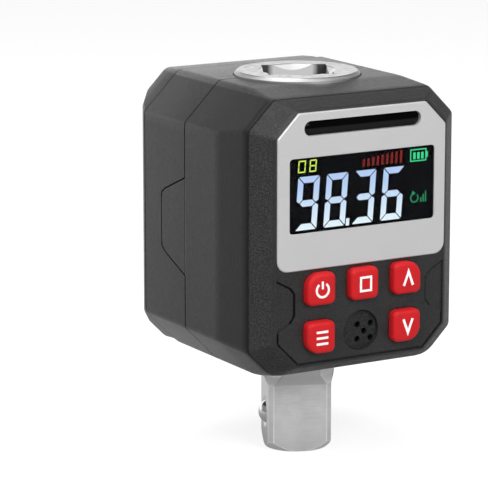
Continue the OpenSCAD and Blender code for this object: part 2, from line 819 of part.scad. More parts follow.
module indicator_lens() {
    r = slot_r - fit_gap;
    length = slot_w - 2 * fit_gap;
    lens_front_y = bezel_front_y + lens_sink;
    reach = length / 2 - r;
    color("#0b0b0c") {
        intersection() {
            stadium_y(length, r, slot_z, lens_front_y, front_inner_y + lens_flange_t);
            union() {
                translate([-reach, lens_front_y + lens_dome, slot_z]) rotate([0, 90, 0])
                    cylinder(h = 2 * reach, r = lens_dome);
                for (x = [-reach, reach])
                    translate([x, lens_front_y + lens_dome, slot_z]) sphere(r = lens_dome);
            }
        }
        stadium_y(length + 2 * lens_flange, r + lens_flange, slot_z, front_inner_y + sliver,
            front_inner_y + lens_flange_t);
    }
}

module display_lens() {
    color("#101114")
    plate_y(bezel_back_y - lens_t, bezel_back_y, rectangle(window_w - fit_gap,
        window_bottom + fit_gap / 2, window_bottom + window_h - fit_gap / 2, window_round));
}

module display_module() {
    color("#05070a") {
        glass_back_y = display_y + display_glass_t;
        block([-display_w / 2, display_y, window_mid - display_h / 2],
            [display_w / 2, glass_back_y, window_mid + display_h / 2]);
        block([-display_w / 2 + display_step, glass_back_y, window_mid - display_h / 2 + display_step],
            [display_w / 2 - display_step, board_y, window_mid + display_h / 2 - display_step]);
    }
}

// Key cap with its flange behind the cover and the pill that meets its dome
module key(i) {
    color("#d3232a") {
        edge_steps = 3;
        skin(concat([ring_y(cap(key_places[i], 0, key_radii[i]), key_flange_y + key_flange_t / 2)],
            [for (k = [0 : edge_steps]) let (a = 90 * k / edge_steps)
                ring_y(cap(key_places[i], -key_edge * (1 - cos(a)), key_radii[i]),
                    key_front_y + key_edge * (1 - sin(a)))]));
        plate_y(key_flange_y, key_flange_y + key_flange_t, cap(key_places[i], key_flange, key_radii[i]));
        rod_y(key_places[i], key_flange_y + key_flange_t / 2,
            key_flange_y + key_flange_t + key_pill_t, key_pill_r);
    }
}

module key_top_left() { key(0); }
module key_top_centre() { key(1); }
module key_top_right() { key(2); }
module key_bottom_left() { key(3); }
module key_bottom_right() { key(4); }

module keypad_sheet() {
    color("#8d8f92")
    difference() {
        reach = key_size / 2 + key_flange;
        plate_y(board_y - sheet_t, board_y, rectangle(2 * (key_pitch_x + reach + sheet_margin),
            key_row_bottom - reach, key_row_top + reach, key_round));
        for (p = key_places) rod_y(p, board_y - sheet_t - over, board_y + over, sheet_hole_r);
        rod_y([0, key_row_bottom], board_y - sheet_t - over, board_y + over, buzzer_r + fit_gap);
    }
}

module contact_domes() {
    rim_share = 0.7;
    color("#d8d5cc")
    for (p = key_places) translate([p.x, board_y, p.y]) rotate([90, 0, 0]) rotate_extrude()
        polygon([[0, 0], [dome_r, 0], [dome_r * rim_share, dome_h * rim_share], [0, dome_h]]);
}

module circuit_board() {
    color("#1f5c3a")
    difference() {
        plate_y(board_y, board_back_y, outline([board_y, board_half_w, board_top, board_bottom,
            board_cut, board_cut, panel_round, panel_round]));
        for (p = post_places) rod_y(p, board_y - over, board_back_y + over, board_screw_r + fit_gap);
    }
}

module board_parts() {
    color("#1b1b1d") {
        block([-board_half_w / 2 - chip_size.x / 2, board_back_y, gauge_z - chip_size.z],
            [-board_half_w / 2 + chip_size.x / 2, board_back_y + chip_size.y, gauge_z]);
        block([plug_x, board_back_y, gauge_z - plug_size.z / 2],
            [plug_x + plug_size.x, board_back_y + plug_size.y, gauge_z + plug_size.z / 2]);
        translate([board_half_w / 2 + plug_size.x / 2, board_back_y + crystal_r, gauge_z + plug_size.z])
            cylinder(h = crystal_length, r = crystal_r);
    }
}

module indicator_leds() {
    color("#f0efe6")
    for (i = [0 : led_count - 1]) {
        x = (i - (led_count - 1) / 2) * led_pitch;
        block([x - led_size.x / 2, board_y - led_size.y, slot_z - led_size.z / 2],
            [x + led_size.x / 2, board_y, slot_z + led_size.z / 2]);
    }
}

module buzzer() {
    color("#161618")
    difference() {
        rod_y([0, key_row_bottom], board_y - buzzer_t, board_y, buzzer_r);
        rod_y([0, key_row_bottom], board_y - buzzer_t - over, board_y - buzzer_t / 2, buzzer_port_r);
    }
}

// Pan head screw that is driven from the back, with a cross recess
module screw(place, head_y, r, length, head_r, head_t) {
    difference() {
        union() {
            rod_y(place, head_y - length, head_y + head_t / 2, r);
            rod_y(place, head_y, head_y + head_t, head_r);
        }
        for (turn = [0, 90]) translate([place.x, head_y + head_t / 2, place.y]) rotate([0, turn, 0])
            block([-head_r * recess_length_share, 0, -head_r * recess_width_share],
                [head_r * recess_length_share, head_t, head_r * recess_width_share]);
    }
}

module board_screws() {
    color("#b9bbbe")
    for (p = post_places) screw(p, board_back_y, board_screw_r,
        min(board_screw_length, board_back_y - front_inner_y - over), board_screw_head_r,
        board_screw_head_t);
}

module housing_screws() {
    color("#8f9194")
    for (p = screw_places) screw(p, screw_head_y, screw_r, screw_length, screw_head_r, screw_head_t);
}

// Outline of the male square with chamfered corners
function square_outline(w, cut) =
    let (h = w / 2)
    [[h, -h + cut], [h, h - cut], [h - cut, h], [-h + cut, h], [-h, h - cut], [-h, -h + cut],
        [-h + cut, -h], [h - cut, -h]];

module drive_shaft() {
    corner_r = norm([drive_square / 2, drive_square / 2 - drive_chamfer]);
    neck_cut = neck_square / 2 - sqrt(journal_r * journal_r - neck_square * neck_square / 4);
    color("#c9cacb")
    on_shaft()
    difference() {
        union() {
            intersection() {
                linear_extrude(drive_length) polygon(square_outline(drive_square, drive_chamfer));
                rotate_extrude() polygon([[0, -over], [corner_r - tip_cut - over, -over],
                    [corner_r + over, tip_cut + over], [corner_r + over, drive_length + over],
                    [0, drive_length + over]]);
            }
            skin([ring_z_at(square_outline(drive_square, drive_chamfer), drive_length),
                ring_z_at(square_outline(neck_square, neck_cut), drive_length + neck_rise)]);
            translate([0, 0, drive_length + neck_rise]) intersection() {
                cylinder(h = neck_top - drive_length - neck_rise, r = journal_r);
                translate([-neck_square / 2, -neck_square / 2, 0])
                    cube([neck_square, neck_square, neck_top]);
            }
            rotate_extrude() polygon([[0, neck_top], [journal_r, neck_top],
                [journal_r, ring_z], [journal_r - ring_groove, ring_z],
                [journal_r - ring_groove, ring_z + ring_t + saddle_gap],
                [journal_r, ring_z + ring_t + saddle_gap], [journal_r, waist_bottom],
                [waist_r, waist_bottom + journal_r - waist_r], [waist_r, waist_top],
                [socket_body_r, socket_body_bottom], [socket_body_r, flange_bottom],
                [flange_r, flange_bottom], [flange_r, flange_top - flange_bevel],
                [flange_r - flange_bevel, flange_top], [0, flange_top]]);
        }
        translate([-socket_square / 2, -socket_square / 2, socket_floor])
            cube([socket_square, socket_square, socket_depth + over]);
        translate([0, 0, flange_top - socket_lead - over]) cylinder(h = socket_lead + 2 * over,
            r1 = socket_square / 2 - over, r2 = socket_square / 2 + socket_lead + over);
        translate([0, 0, socket_floor + socket_depth / 2 - ball_r / 2])
            cylinder(h = ball_r, r = socket_square / 2 + socket_groove);
        ball_pocket();
        translate([0, 0, -over]) cylinder(h = 2 * over + tip_centre_d / 4, r = tip_centre_d / 2);
        translate([0, 0, stop_pin_z]) rotate([90, 0, 0])
            cylinder(h = journal_d, r = stop_pin_r + sliver);
        for (side = [-1, 1]) translate([side * (waist_r - gauge_flat + waist_r / 2), 0, gauge_z])
            cube([waist_r, 2 * waist_r, gauge_size.z + 4 * gauge_flat], center = true);
    }
}

// Blind hole for the ball and its spring, with the closed-in lip that keeps the ball
module ball_pocket() {
    lip_ball = ball_proud - ball_lip_depth;
    lip_r = sqrt(ball_r * ball_r - lip_ball * lip_ball) + ball_lip_gap;
    hole_r = ball_r + ball_hole_gap;
    translate([-drive_square / 2, 0, ball_height]) rotate([0, 90, 0]) rotate_extrude() polygon([
        [0, -over], [lip_r + ball_sink_w, -over], [lip_r + ball_sink_w, 0], [lip_r, ball_lip_depth],
        [hole_r, ball_relief_depth], [hole_r, ball_hole_depth], [0, ball_hole_depth + hole_r / 2]]);
}

module stop_pin() {
    color("#9b9da0")
    on_shaft() translate([0, -stop_pin_root, stop_pin_z]) rotate([90, 0, 0])
        cylinder(h = stop_pin_reach - stop_pin_root, r = stop_pin_r);
}

module retaining_ring() {
    inner = journal_r - ring_groove + saddle_gap / 2;
    color("#6f7276")
    on_shaft() translate([0, 0, ring_z + saddle_gap / 2])
    difference() {
        cylinder(h = ring_t, r = inner + ring_spread);
        translate([0, 0, -over]) cylinder(h = ring_t + 2 * over, r = inner);
        block([-ring_mouth / 2, 0, -over], [ring_mouth / 2, journal_d, ring_t + over]);
    }
}

// Bush with a thin flange at each end
module bush(z, inner, outer) {
    wide = outer + bush_flange_w;
    translate([0, 0, z]) rotate_extrude() polygon([[inner, 0], [wide, 0], [wide, bush_flange_t],
        [outer, bush_flange_t], [outer, bush_length - bush_flange_t],
        [wide, bush_length - bush_flange_t], [wide, bush_length], [inner, bush_length]]);
}

module upper_bush() {
    color("#e9e6dc") bush(upper_bush_z, socket_body_r + bush_gap, upper_bush_r);
}

module lower_bush() {
    color("#e9e6dc") bush(lower_bush_z, journal_r + bush_gap, lower_bush_r);
}

// Round seal that lies round the shaft
module seal(z, inner) {
    color("#151515")
    translate([0, 0, z]) rotate_extrude() translate([inner + seal_r, 0]) circle(r = seal_r);
}

module upper_seal() { seal(upper_seal_z, socket_body_r + bush_gap); }
module lower_seal() { seal(lower_seal_z, journal_r + bush_gap); }

module strain_gauges() {
    color("#c58b3c")
    on_shaft() for (side = [-1, 1])
        translate([side * (waist_r - gauge_flat + gauge_size.x / 2), 0, gauge_z])
            cube(gauge_size, center = true);
}

module gauge_lead() {
    color("#2b2b2e")
    tube([for (i = [0 : lead_steps])
        let (s = i / lead_steps, a = shaft_turn + lead_turn * s,
            r = lead_start_r + (lead_end_r - lead_start_r) * pow(s, lead_power))
        [r * cos(a), r * sin(a), gauge_z]], lead_r, 8);
}

module detent_ball() {
    color("#dcdddf") on_shaft() translate([ball_x, 0, ball_height]) sphere(r = ball_r);
}

module detent_spring() {
    reach = ball_hole_depth - drive_square / 2;
    length = reach - ball_x - ball_r - 2 * saddle_gap;
    color("#a7a9ac") on_shaft() translate([ball_x + ball_r + saddle_gap, 0, ball_height])
        rotate([0, 90, 0]) coil(ball_r - 2 * detent_wire, detent_wire, length, detent_turns);
}

// Cell with its nub up or down
module cell(side) {
    way = -side;
    color("#35587a")
    translate([side * cell_x, cell_y, body_mid + way * cell_shift]) scale([1, 1, way]) {
        translate([0, 0, -cell_length / 2]) cylinder(h = cell_length - nub_h, r = cell_r);
        translate([0, 0, cell_length / 2 - 2 * nub_h]) cylinder(h = 2 * nub_h, r = nub_r);
    }
}

module cell_left() { cell(-1); }
module cell_right() { cell(1); }

module battery_springs() {
    room = bay_half + cell_shift - cell_length / 2;
    color("#c9b37e")
    for (side = [-1, 1])
        translate([side * cell_x, cell_y, body_mid + side * bay_half]) scale([1, 1, -side]) {
            block([-contact_w / 2, -contact_w / 2, 0], [contact_w / 2, contact_w / 2, spring_plate_t]);
            translate([0, 0, spring_plate_t + sliver])
                coil(spring_r, spring_wire, room - spring_plate_t - saddle_gap, spring_turns);
        }
}

module battery_contacts() {
    color("#c9b37e")
    for (side = [-1, 1])
        translate([side * cell_x, cell_y, body_mid - side * bay_half]) scale([1, 1, side])
            block([-contact_w / 2, -contact_w / 2, 0], [contact_w / 2, contact_w / 2, contact_t]);
}

front_cover();
rear_cover();
battery_door();
bezel_plate();
indicator_lens();
display_lens();
display_module();
key_top_left();
key_top_centre();
key_top_right();
key_bottom_left();
key_bottom_right();
keypad_sheet();
contact_domes();
circuit_board();
board_parts();
indicator_leds();
buzzer();
board_screws();
housing_screws();
drive_shaft();
stop_pin();
retaining_ring();
upper_bush();
lower_bush();
upper_seal();
lower_seal();
strain_gauges();
gauge_lead();
detent_ball();
detent_spring();
cell_left();
cell_right();
battery_springs();
battery_contacts();
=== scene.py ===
import json
import math

import bmesh
import bpy
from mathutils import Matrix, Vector


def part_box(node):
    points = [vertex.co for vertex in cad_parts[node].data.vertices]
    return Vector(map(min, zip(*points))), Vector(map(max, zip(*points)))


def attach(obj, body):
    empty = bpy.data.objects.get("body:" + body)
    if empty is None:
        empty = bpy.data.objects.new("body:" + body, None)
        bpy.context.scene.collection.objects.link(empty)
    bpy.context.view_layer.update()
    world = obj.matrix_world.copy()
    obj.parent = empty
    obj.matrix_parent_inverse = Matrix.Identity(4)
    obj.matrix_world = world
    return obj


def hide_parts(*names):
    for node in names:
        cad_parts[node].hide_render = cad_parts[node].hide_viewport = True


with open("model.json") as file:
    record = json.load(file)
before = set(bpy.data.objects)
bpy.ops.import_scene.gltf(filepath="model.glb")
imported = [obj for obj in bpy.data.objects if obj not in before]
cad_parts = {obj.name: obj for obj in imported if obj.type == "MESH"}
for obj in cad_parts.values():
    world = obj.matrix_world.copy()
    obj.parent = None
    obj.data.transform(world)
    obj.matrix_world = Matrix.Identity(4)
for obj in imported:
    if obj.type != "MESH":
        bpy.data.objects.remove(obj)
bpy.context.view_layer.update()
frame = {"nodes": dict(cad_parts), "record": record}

# Lengths below are in millimetres, in the frame of the CAD model
MM = 0.001

# Camera fitted to the photograph, with its angles in degrees and its clipping in metres
PHOTO_SIZE = 488
FOCAL_PIXELS = 2874.3
SENSOR = 36.0
CAMERA_PLACE = (-291.89, -475.83, 160.45)
CAMERA_PITCH = 77.917
CAMERA_TURN = -30.455
CLIP_START, CLIP_END = 0.05, 100

# Boxes of the nodes that other pieces are placed by
BEZEL_LOW, BEZEL_HIGH = (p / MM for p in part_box("bezel_plate"))
LENS_LOW, LENS_HIGH = (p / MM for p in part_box("display_lens"))
SLOT_LOW, SLOT_HIGH = (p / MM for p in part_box("indicator_lens"))
FRONT_LOW, FRONT_HIGH = (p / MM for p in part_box("front_cover"))

# Housing from front to back: panel, sloped band, taper, seam, and the line before the door
PANEL_Y = FRONT_LOW.y
BAND_DEPTH = 3.7
SHOULDER_Y = PANEL_Y + BAND_DEPTH
TAPER_Y = -11.2
SEAM_Y = 1.2
REAR_LINE_Y = 17.3
REAR_Y = 18.0

# Tongue at each side: its middle, and its corners as (distance behind the seam, distance from the middle)
TONGUE_Z = 46.8
TONGUE_HALF = 9.7
TONGUE_BEND = (8.08, 6.3)
TONGUE_END = (9.4, 5.33)
tongue_path = [(SEAM_Y, TONGUE_HALF)]
tongue_path += [(SEAM_Y + depth, height) for depth, height in (TONGUE_BEND, TONGUE_END)]
tongue_path.append((SEAM_Y + TONGUE_END[0], 0.0))

# Sunk land beside the keys, with corners as (distance in from the bezel's edge, distance from an end)
LAND_TOP = BEZEL_LOW.z - 1.6
LAND_BOTTOM = FRONT_LOW.z + 11.4
LAND_BEND = (3.12, 1.7)
LAND_END = (4.0, 2.89)
land_path = [(BEZEL_HIGH.x, LAND_TOP)]
land_path += [(BEZEL_HIGH.x - inwards, LAND_TOP - drop) for inwards, drop in (LAND_BEND, LAND_END)]
land_path += [(BEZEL_HIGH.x - inwards, LAND_BOTTOM + rise) for inwards, rise in (LAND_END, LAND_BEND)]

# Sounder's disc
DISC_X, DISC_Z, DISC_R = 0.0, 28.4, 3.9

# Drive shaft: the male square, its neck, the flange and the way that the squares are turned
DRIVE_LENGTH = 13.7
TIP_R = 6.4
NECK_RISE = 2.0
FACE_EDGE_DEGREES, NECK_EDGE_DEGREES = 40.1, 29.3
FLANGE_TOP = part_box("drive_shaft")[1].z / MM
PRESS_AXIS = next(j["axis"] for j in frame["record"]["behaviour"]["joints"] if j["name"] == "detent_press")
DRIVE_TURN = math.atan2(PRESS_AXIS[1], PRESS_AXIS[0])


# Meshes

WELD = 0.002
FLAT_DEGREES = 0.4
EDGE_SEGMENTS = 2
CORNER_STEPS = 8
LEAST_RADIUS = 0.05
LEAST_MITRE = 0.35


def new_object(name, points, faces, scale=MM):
    """An object from points and faces, with its faces turned outwards."""
    mesh = bpy.data.meshes.new(name)
    mesh.from_pydata([Vector(p) * scale for p in points], [], faces)
    build = bmesh.new()
    build.from_mesh(mesh)
    bmesh.ops.recalc_face_normals(build, faces=build.faces)
    build.to_mesh(mesh)
    build.free()
    made = bpy.data.objects.new(name, mesh)
    bpy.context.scene.collection.objects.link(made)
    return made


def add_piece(made, body, look, stands_for=()):
    """Gives a piece its material and puts it on the body that carries it."""
    made.data.materials.clear()
    made.data.materials.append(look)
    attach(made, body)
    if stands_for:
        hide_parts(*stands_for)


def smooth(made, sharp_degrees):
    made.data.shade_smooth()
    made.data.set_sharp_from_angle(angle=math.radians(sharp_degrees))


def soften(made, width, degrees):
    """Rounds the edges that are sharper than an angle, with normals that keep the flat faces flat."""
    bevel = made.modifiers.new("soft_edges", "BEVEL")
    bevel.width = width * MM
    bevel.segments = EDGE_SEGMENTS
    bevel.limit_method = "ANGLE"
    bevel.angle_limit = math.radians(degrees)
    bevel.harden_normals = False
    bevel.miter_outer = "MITER_ARC"
    even = made.modifiers.new("even_normals", "WEIGHTED_NORMAL")
    even.keep_sharp = True


def dressed(node, name, sharp_degrees, edge):
    """A copy of a CAD node's mesh, with its flat faces joined up and its edges softened."""
    build = bmesh.new()
    build.from_mesh(frame["nodes"][node].data)
    bmesh.ops.remove_doubles(build, verts=build.verts, dist=WELD * MM)
    bmesh.ops.dissolve_limit(build, angle_limit=math.radians(FLAT_DEGREES), verts=build.verts,
                             edges=build.edges)
    bmesh.ops.triangulate(build, faces=[f for f in build.faces if len(f.verts) > 4], ngon_method="BEAUTY")
    build.verts.index_update()
    points = [v.co.copy() for v in build.verts]
    faces = [[v.index for v in f.verts] for f in build.faces]
    build.free()
    made = new_object(name, points, faces, 1.0)
    smooth(made, sharp_degrees)
    if edge:
        soften(made, edge, sharp_degrees)
    return made


def loft(name, rings):
    """A closed skin through rings of equally many points."""
    count = len(rings[0])
    points = [p for ring in rings for p in ring]
    faces = []
    for i in range(len(rings) - 1):
        for j in range(count):
            k = (j + 1) % count
            faces.append((i * count + j, i * count + k, (i + 1) * count + k, (i + 1) * count + j))
    faces.append(list(range(count)))
    faces.append([(len(rings) - 1) * count + j for j in range(count)])
    return new_object(name, points, faces)


def join(name, parts):
    """One object made of several, each with its own closed mesh."""
    points, faces = [], []
    for part in parts:
        start = len(points)
        points += [v.co / MM for v in part.data.vertices]
        faces += [[start + i for i in f.vertices] for f in part.data.polygons]
        bpy.data.objects.remove(part)
    return new_object(name, points, faces)


def rounded(low, high, radii, inset=0.0):
    """Points (x, z) round a rectangle, with its corner radii clockwise from the top left."""
    x0, z0 = low[0] + inset, low[1] + inset
    x1, z1 = high[0] - inset, high[1] - inset
    corners = ((x0, z1, 180), (x1, z1, 90), (x1, z0, 0), (x0, z0, -90))
    ways_in = ((1, -1), (-1, -1), (-1, 1), (1, 1))
    points = []
    for (x, z, start), way, radius in zip(corners, ways_in, radii):
        r = max(radius - inset, LEAST_RADIUS)
        for i in range(CORNER_STEPS + 1):
            turn = math.radians(start - 90 * i / CORNER_STEPS)
            points.append((x + way[0] * r + r * math.cos(turn), z + way[1] * r + r * math.sin(turn)))
    return points


def arc(cx, cz, radius, start, end, steps=24):
    """Points (x, z) along an arc, from one angle to another in degrees."""
    turns = [math.radians(start + (end - start) * i / steps) for i in range(steps + 1)]
    return [(cx + radius * math.cos(t), cz + radius * math.sin(t)) for t in turns]


def at_y(points, y):
    return [(x, y, z) for x, z in points]


def plate(name, points, front, back):
    """A prism along Y from an outline of (x, z) points."""
    return loft(name, [at_y(points, front), at_y(points, back)])


def ribbon(name, path, width, front, back, closed=False):
    """A flat stroke of even width along a path of (x, z) points."""
    count = len(path)
    left, right = [], []
    for i, (x, z) in enumerate(path):
        before = path[i - 1] if i or closed else path[i]
        after = path[(i + 1) % count] if i < count - 1 or closed else path[i]
        a = Vector((x - before[0], z - before[1]))
        b = Vector((after[0] - x, after[1] - z))
        a = a.normalized() if a.length else b.normalized()
        b = b.normalized() if b.length else a
        side = Vector((-(a + b).y, (a + b).x)).normalized()
        reach = width / 2 / max(LEAST_MITRE, side.dot(Vector((-a.y, a.x))))
        left.append((x + side.x * reach, z + side.y * reach))
        right.append((x - side.x * reach, z - side.y * reach))
    points, faces = [], []
    for (lx, lz), (rx, rz) in zip(left, right):
        points += [(lx, front, lz), (rx, front, rz), (rx, back, rz), (lx, back, lz)]
    spans = count if closed else count - 1
    for i in range(spans):
        j = (i + 1) % count
        for k in range(4):
            m = (k + 1) % 4
            faces.append((4 * i + k, 4 * j + k, 4 * j + m, 4 * i + m))
    if not closed:
        faces += [(0, 1, 2, 3), tuple(4 * (count - 1) + k for k in range(4))]
    return new_object(name, points, faces)


# Materials

NEUTRAL = (1.0, 1.0, 1.0)
COOL = (1.0, 1.0, 1.02)
FAINTLY_COOL = (1.0, 1.0, 1.01)
FAINTLY_WARM = (1.0, 1.0, 0.995)
WARM = (1.0, 0.97, 0.94)
BLUISH = (1.0, 1.1, 1.7)

# Range that a noise mostly stays in
NOISE_LOW, NOISE_HIGH = 0.3, 0.7

# Half width of a clean change between two looks, and of a hairline one
SHARP = 0.1
HAIR = 0.05

# Share of a crease's half width that is fully dark with painted shade
CREASE_CORE = 0.4


def rgba(color, gain=1.0):
    """An opaque colour, made darker or paler by a gain."""
    return tuple(min(1.0, gain * c) for c in color) + (1.0,)


def grey(level, tint=NEUTRAL):
    return rgba(tint, level)


class Look:
    """A material being built. Its patterns lie in the object's own space, so they move with it."""

    def __init__(self, name, color, roughness, metallic=0.0, **constants):
        self.material = bpy.data.materials.new(name)
        self.material.use_nodes = True
        self.tree = self.material.node_tree
        self.shader = self.tree.nodes["Principled BSDF"]
        self.set("Base Color", (*color, 1.0))
        self.set("Roughness", roughness)
        self.set("Metallic", metallic)
        for key, value in constants.items():
            self.set(key.replace("_", " "), value)
        self.place = self.add("TexCoord").outputs["Object"]
        self.normal = None

    def set(self, socket, value):
        target = self.shader.inputs[socket]
        if isinstance(value, bpy.types.NodeSocket):
            self.tree.links.new(value, target)
        else:
            target.default_value = value

    def add(self, kind, inputs=None, **settings):
        node = self.tree.nodes.new("ShaderNode" + kind)
        for key, value in settings.items():
            setattr(node, key, value)
        for key, value in (inputs or {}).items():
            if isinstance(value, bpy.types.NodeSocket):
                self.tree.links.new(value, node.inputs[key])
            else:
                node.inputs[key].default_value = value
        return node

    def axes(self):
        """The three coordinates of a place in the object's space."""
        return self.add("SeparateXYZ", {"Vector": self.place}).outputs[:]

    def stretched(self, x=1.0, y=1.0, z=1.0):
        """The object's space, scaled along its axes."""
        return self.add("Mapping", {"Vector": self.place, "Scale": (x, y, z)}).outputs["Vector"]

    def point(self, **axes):
        return self.add("CombineXYZ", axes).outputs[0]

    def noise(self, size, detail=2.0, rough=0.5, place=None):
        return self.add("TexNoise", {"Vector": place or self.place, "Scale": 1 / (size * MM),
                                     "Detail": detail, "Roughness": rough}).outputs["Fac"]

    def cells(self, size, place):
        return self.add("TexVoronoi", {"Vector": place, "Scale": 1 / (size * MM)}).outputs["Distance"]

    def math(self, operation, a, b=0.0):
        return self.add("Math", {0: a, 1: b}, operation=operation).outputs[0]

    def both(self, a, b):
        return self.math("MULTIPLY", a, b)

    def rest(self, share):
        return self.math("SUBTRACT", 1.0, share)

    def size(self, value):
        return self.math("ABSOLUTE", value)

    def total(self, first, *others):
        for value in others:
            first = self.math("ADD", first, value)
        return first

    def larger(self, a, b):
        return self.math("MAXIMUM", a, b)

    def scale(self, vector, factor):
        return self.add("VectorMath", {0: vector, "Scale": factor}, operation="SCALE").outputs["Vector"]

    def distance(self, a, b):
        return self.add("VectorMath", {0: a, 1: b}, operation="DISTANCE").outputs["Value"]

    def span(self, value, low, high, start=0.0, end=1.0):
        """value from low to high, turned into start to end."""
        return self.add("MapRange", {"Value": value, "From Min": low, "From Max": high,
                                     "To Min": start, "To Max": end}).outputs["Result"]

    def ramp(self, place, low, high, start=0.0, end=1.0):
        """A place from low to high, in millimetres, turned into start to end."""
        return self.span(place, low * MM, high * MM, start, end)

    def patchy(self, size, detail, low, high):
        """A value that wanders from low to high, in patches of a size."""
        return self.span(self.noise(size, detail), NOISE_LOW, NOISE_HIGH, low, high)

    def stroke(self, away, half):
        """1 near a line, 0 farther away from it than its half width."""
        return self.ramp(away, half, half * CREASE_CORE)

    def line(self, place, middle, half):
        """A stroke across one axis, round a middle place."""
        return self.stroke(self.size(self.math("SUBTRACT", place, middle * MM)), half)

    def from_segment(self, place, start, end):
        """Distance of a place in a plane from a straight segment between two points."""
        start, end = (Vector((*p, 0.0)) * MM for p in (start, end))
        way = end - start
        away = self.add("VectorMath", {0: place, 1: start}, operation="SUBTRACT").outputs["Vector"]
        along = self.add("VectorMath", {0: away, 1: way}, operation="DOT_PRODUCT").outputs["Value"]
        share = self.span(along, 0.0, way.length_squared)
        return self.distance(away, self.scale(way, share))

    def blend(self, share, low, high):
        return self.add("Mix", {0: share, 6: low, 7: high}, data_type="RGBA").outputs[2]

    def bump(self, height, depth):
        inputs = {"Height": height, "Distance": depth * MM, "Strength": 1.0}
        if self.normal:
            inputs["Normal"] = self.normal
        self.normal = self.add("Bump", inputs).outputs["Normal"]
        self.set("Normal", self.normal)


# Black moulded plastic: tones, grain, and sparks on the sloped band

HOUSING_TONE, DOOR_TONE = 0.012, 0.0115
GRAIN_SIZE, GRAIN_DEPTH, GRAIN_LOW, GRAIN_HIGH = 0.34, 0.07, 0.36, 0.64
GRAIN_DARK, GRAIN_PALE = 0.45, 1.55
PATCH_SIZE, PATCH_SHARE = 9, 0.2
SPARK_SIZE, SPARK_DEPTH, SPARK_LOW, SPARK_HIGH = 0.36, 0.19, 0.5, 0.64
SPARK_PALE = 3.0
BAND_START, BAND_FULL = 0.25, 0.55
DISC_DEPTH, DISC_EDGE = 0.2, 0.2
DISC_BACK_FULL, DISC_BACK_END = 0.9, 1.2

# Painted light: how much paler the plastic is painted on top, on the slants, low down and on the panel, and
# painted shade that makes it darker at the sides
TOP_START, TOP_FULL, TOP_FADE = 1.1, 0.8, 5
TOP_GAIN_MIDDLE, TOP_GAIN_BACK, TOP_GAIN_RIGHT = 2.0, 6.2, 1.5
SLANT_START, SLANT_FULL, SLANT_GAIN = 10, 8, 2.0
LOW_START, LOW_FULL, LOW_GAIN = 9, 4, 2.5
SIDE_LOSS = 0.85
PANEL_GAIN = 0.45

# Painted shade along the creases: the seam, the line before the door, the outlines of the tongues and of the
# land, and the shoulder bend
CREASE_HALF = 0.2
CREASE_SHADE, CREASE_ROUGH, CREASE_METAL, CREASE_DEPTH = 0.92, 0.5, 0.85, 0.2
SHOULDER_HALF, SHOULDER_SHARE, SHOULDER_FADE = 0.3, 0.5, 0.3
SIDE_START, SIDE_FULL = 0.5, 0.3
LAND_START, LAND_FULL, LAND_SHARE = 0.5, 0.4, 0.7


def painted_light_gain(look, x, y, z, off_panel):
    """How many times paler than its tone the plastic is painted: painted light on top, on the slants, low
    down and on the panel, and painted shade at the sides.
    """
    top = look.total(look.ramp(y, -TOP_FADE, REAR_Y, TOP_GAIN_MIDDLE, TOP_GAIN_BACK),
                     look.ramp(x, -TOP_FADE, TOP_FADE, 0.0, TOP_GAIN_RIGHT))
    # Painted light on the top face, paler towards the back and the right
    painted_top_light = look.both(look.ramp(z, FRONT_HIGH.z - TOP_START, FRONT_HIGH.z - TOP_FULL), top)
    # Painted light on the upper part, paler towards the back
    painted_slant_light = look.both(look.ramp(z, FRONT_HIGH.z - SLANT_START, FRONT_HIGH.z - SLANT_FULL),
                           look.ramp(y, TAPER_Y, REAR_Y, 0.0, SLANT_GAIN))
    # Painted light low down
    painted_low_light = look.ramp(z, FRONT_LOW.z + LOW_START, FRONT_LOW.z + LOW_FULL, 0.0, LOW_GAIN)
    # Painted shade, darker from the back towards the seam and in front of it
    shaded = look.ramp(y, REAR_Y, SEAM_Y, 0.0, -SIDE_LOSS)
    # All the painted light and shade together, at most as dark as the shade alone
    wear_and_painted_light = look.larger(look.total(painted_top_light, painted_low_light, shaded, painted_slant_light), -SIDE_LOSS)
    behind = look.ramp(y, SHOULDER_Y, SHOULDER_Y + SHOULDER_FADE)
    # Painted light and shade only behind the shoulder, and the panel painted paler as painted light
    return look.total(look.both(wear_and_painted_light, behind), look.both(look.rest(off_panel), PANEL_GAIN), 1.0)


def crease_shade_masks(look, x, y, z):
    """Masks of the creases that get painted shade, and of the same with the seam that the tongues cross."""
    on_side = look.ramp(look.size(x), FRONT_HIGH.x - SIDE_START, FRONT_HIGH.x - SIDE_FULL)
    on_panel = look.ramp(y, PANEL_Y + LAND_START, PANEL_Y + LAND_FULL, 0.0, LAND_SHARE)
    from_middle = look.size(look.math("SUBTRACT", z, TONGUE_Z * MM))
    on_tongue = look.both(on_side, look.ramp(from_middle, TONGUE_HALF + SHARP, TONGUE_HALF - SHARP))
    seam = look.line(y, SEAM_Y, CREASE_HALF)
    # Painted shade along the seam, except where the tongues cross it, and along the line before the door
    crease_shade = look.larger(look.both(seam, look.rest(on_tongue)), look.line(y, REAR_LINE_Y, CREASE_HALF))
    for place, path, share in ((look.point(X=y, Y=from_middle), tongue_path, on_side),
                               (look.point(X=look.size(x), Y=z), land_path, on_panel)):
        for start, end in zip(path, path[1:]):
            mark = look.stroke(look.from_segment(place, start, end), CREASE_HALF)
            crease_shade = look.larger(crease_shade, look.both(mark, share))
    # Fainter painted shade along the shoulder bend
    crease_shade = look.larger(crease_shade, look.both(look.line(y, SHOULDER_Y, SHOULDER_HALF), SHOULDER_SHARE))
    return crease_shade, look.larger(look.both(seam, on_tongue), crease_shade)


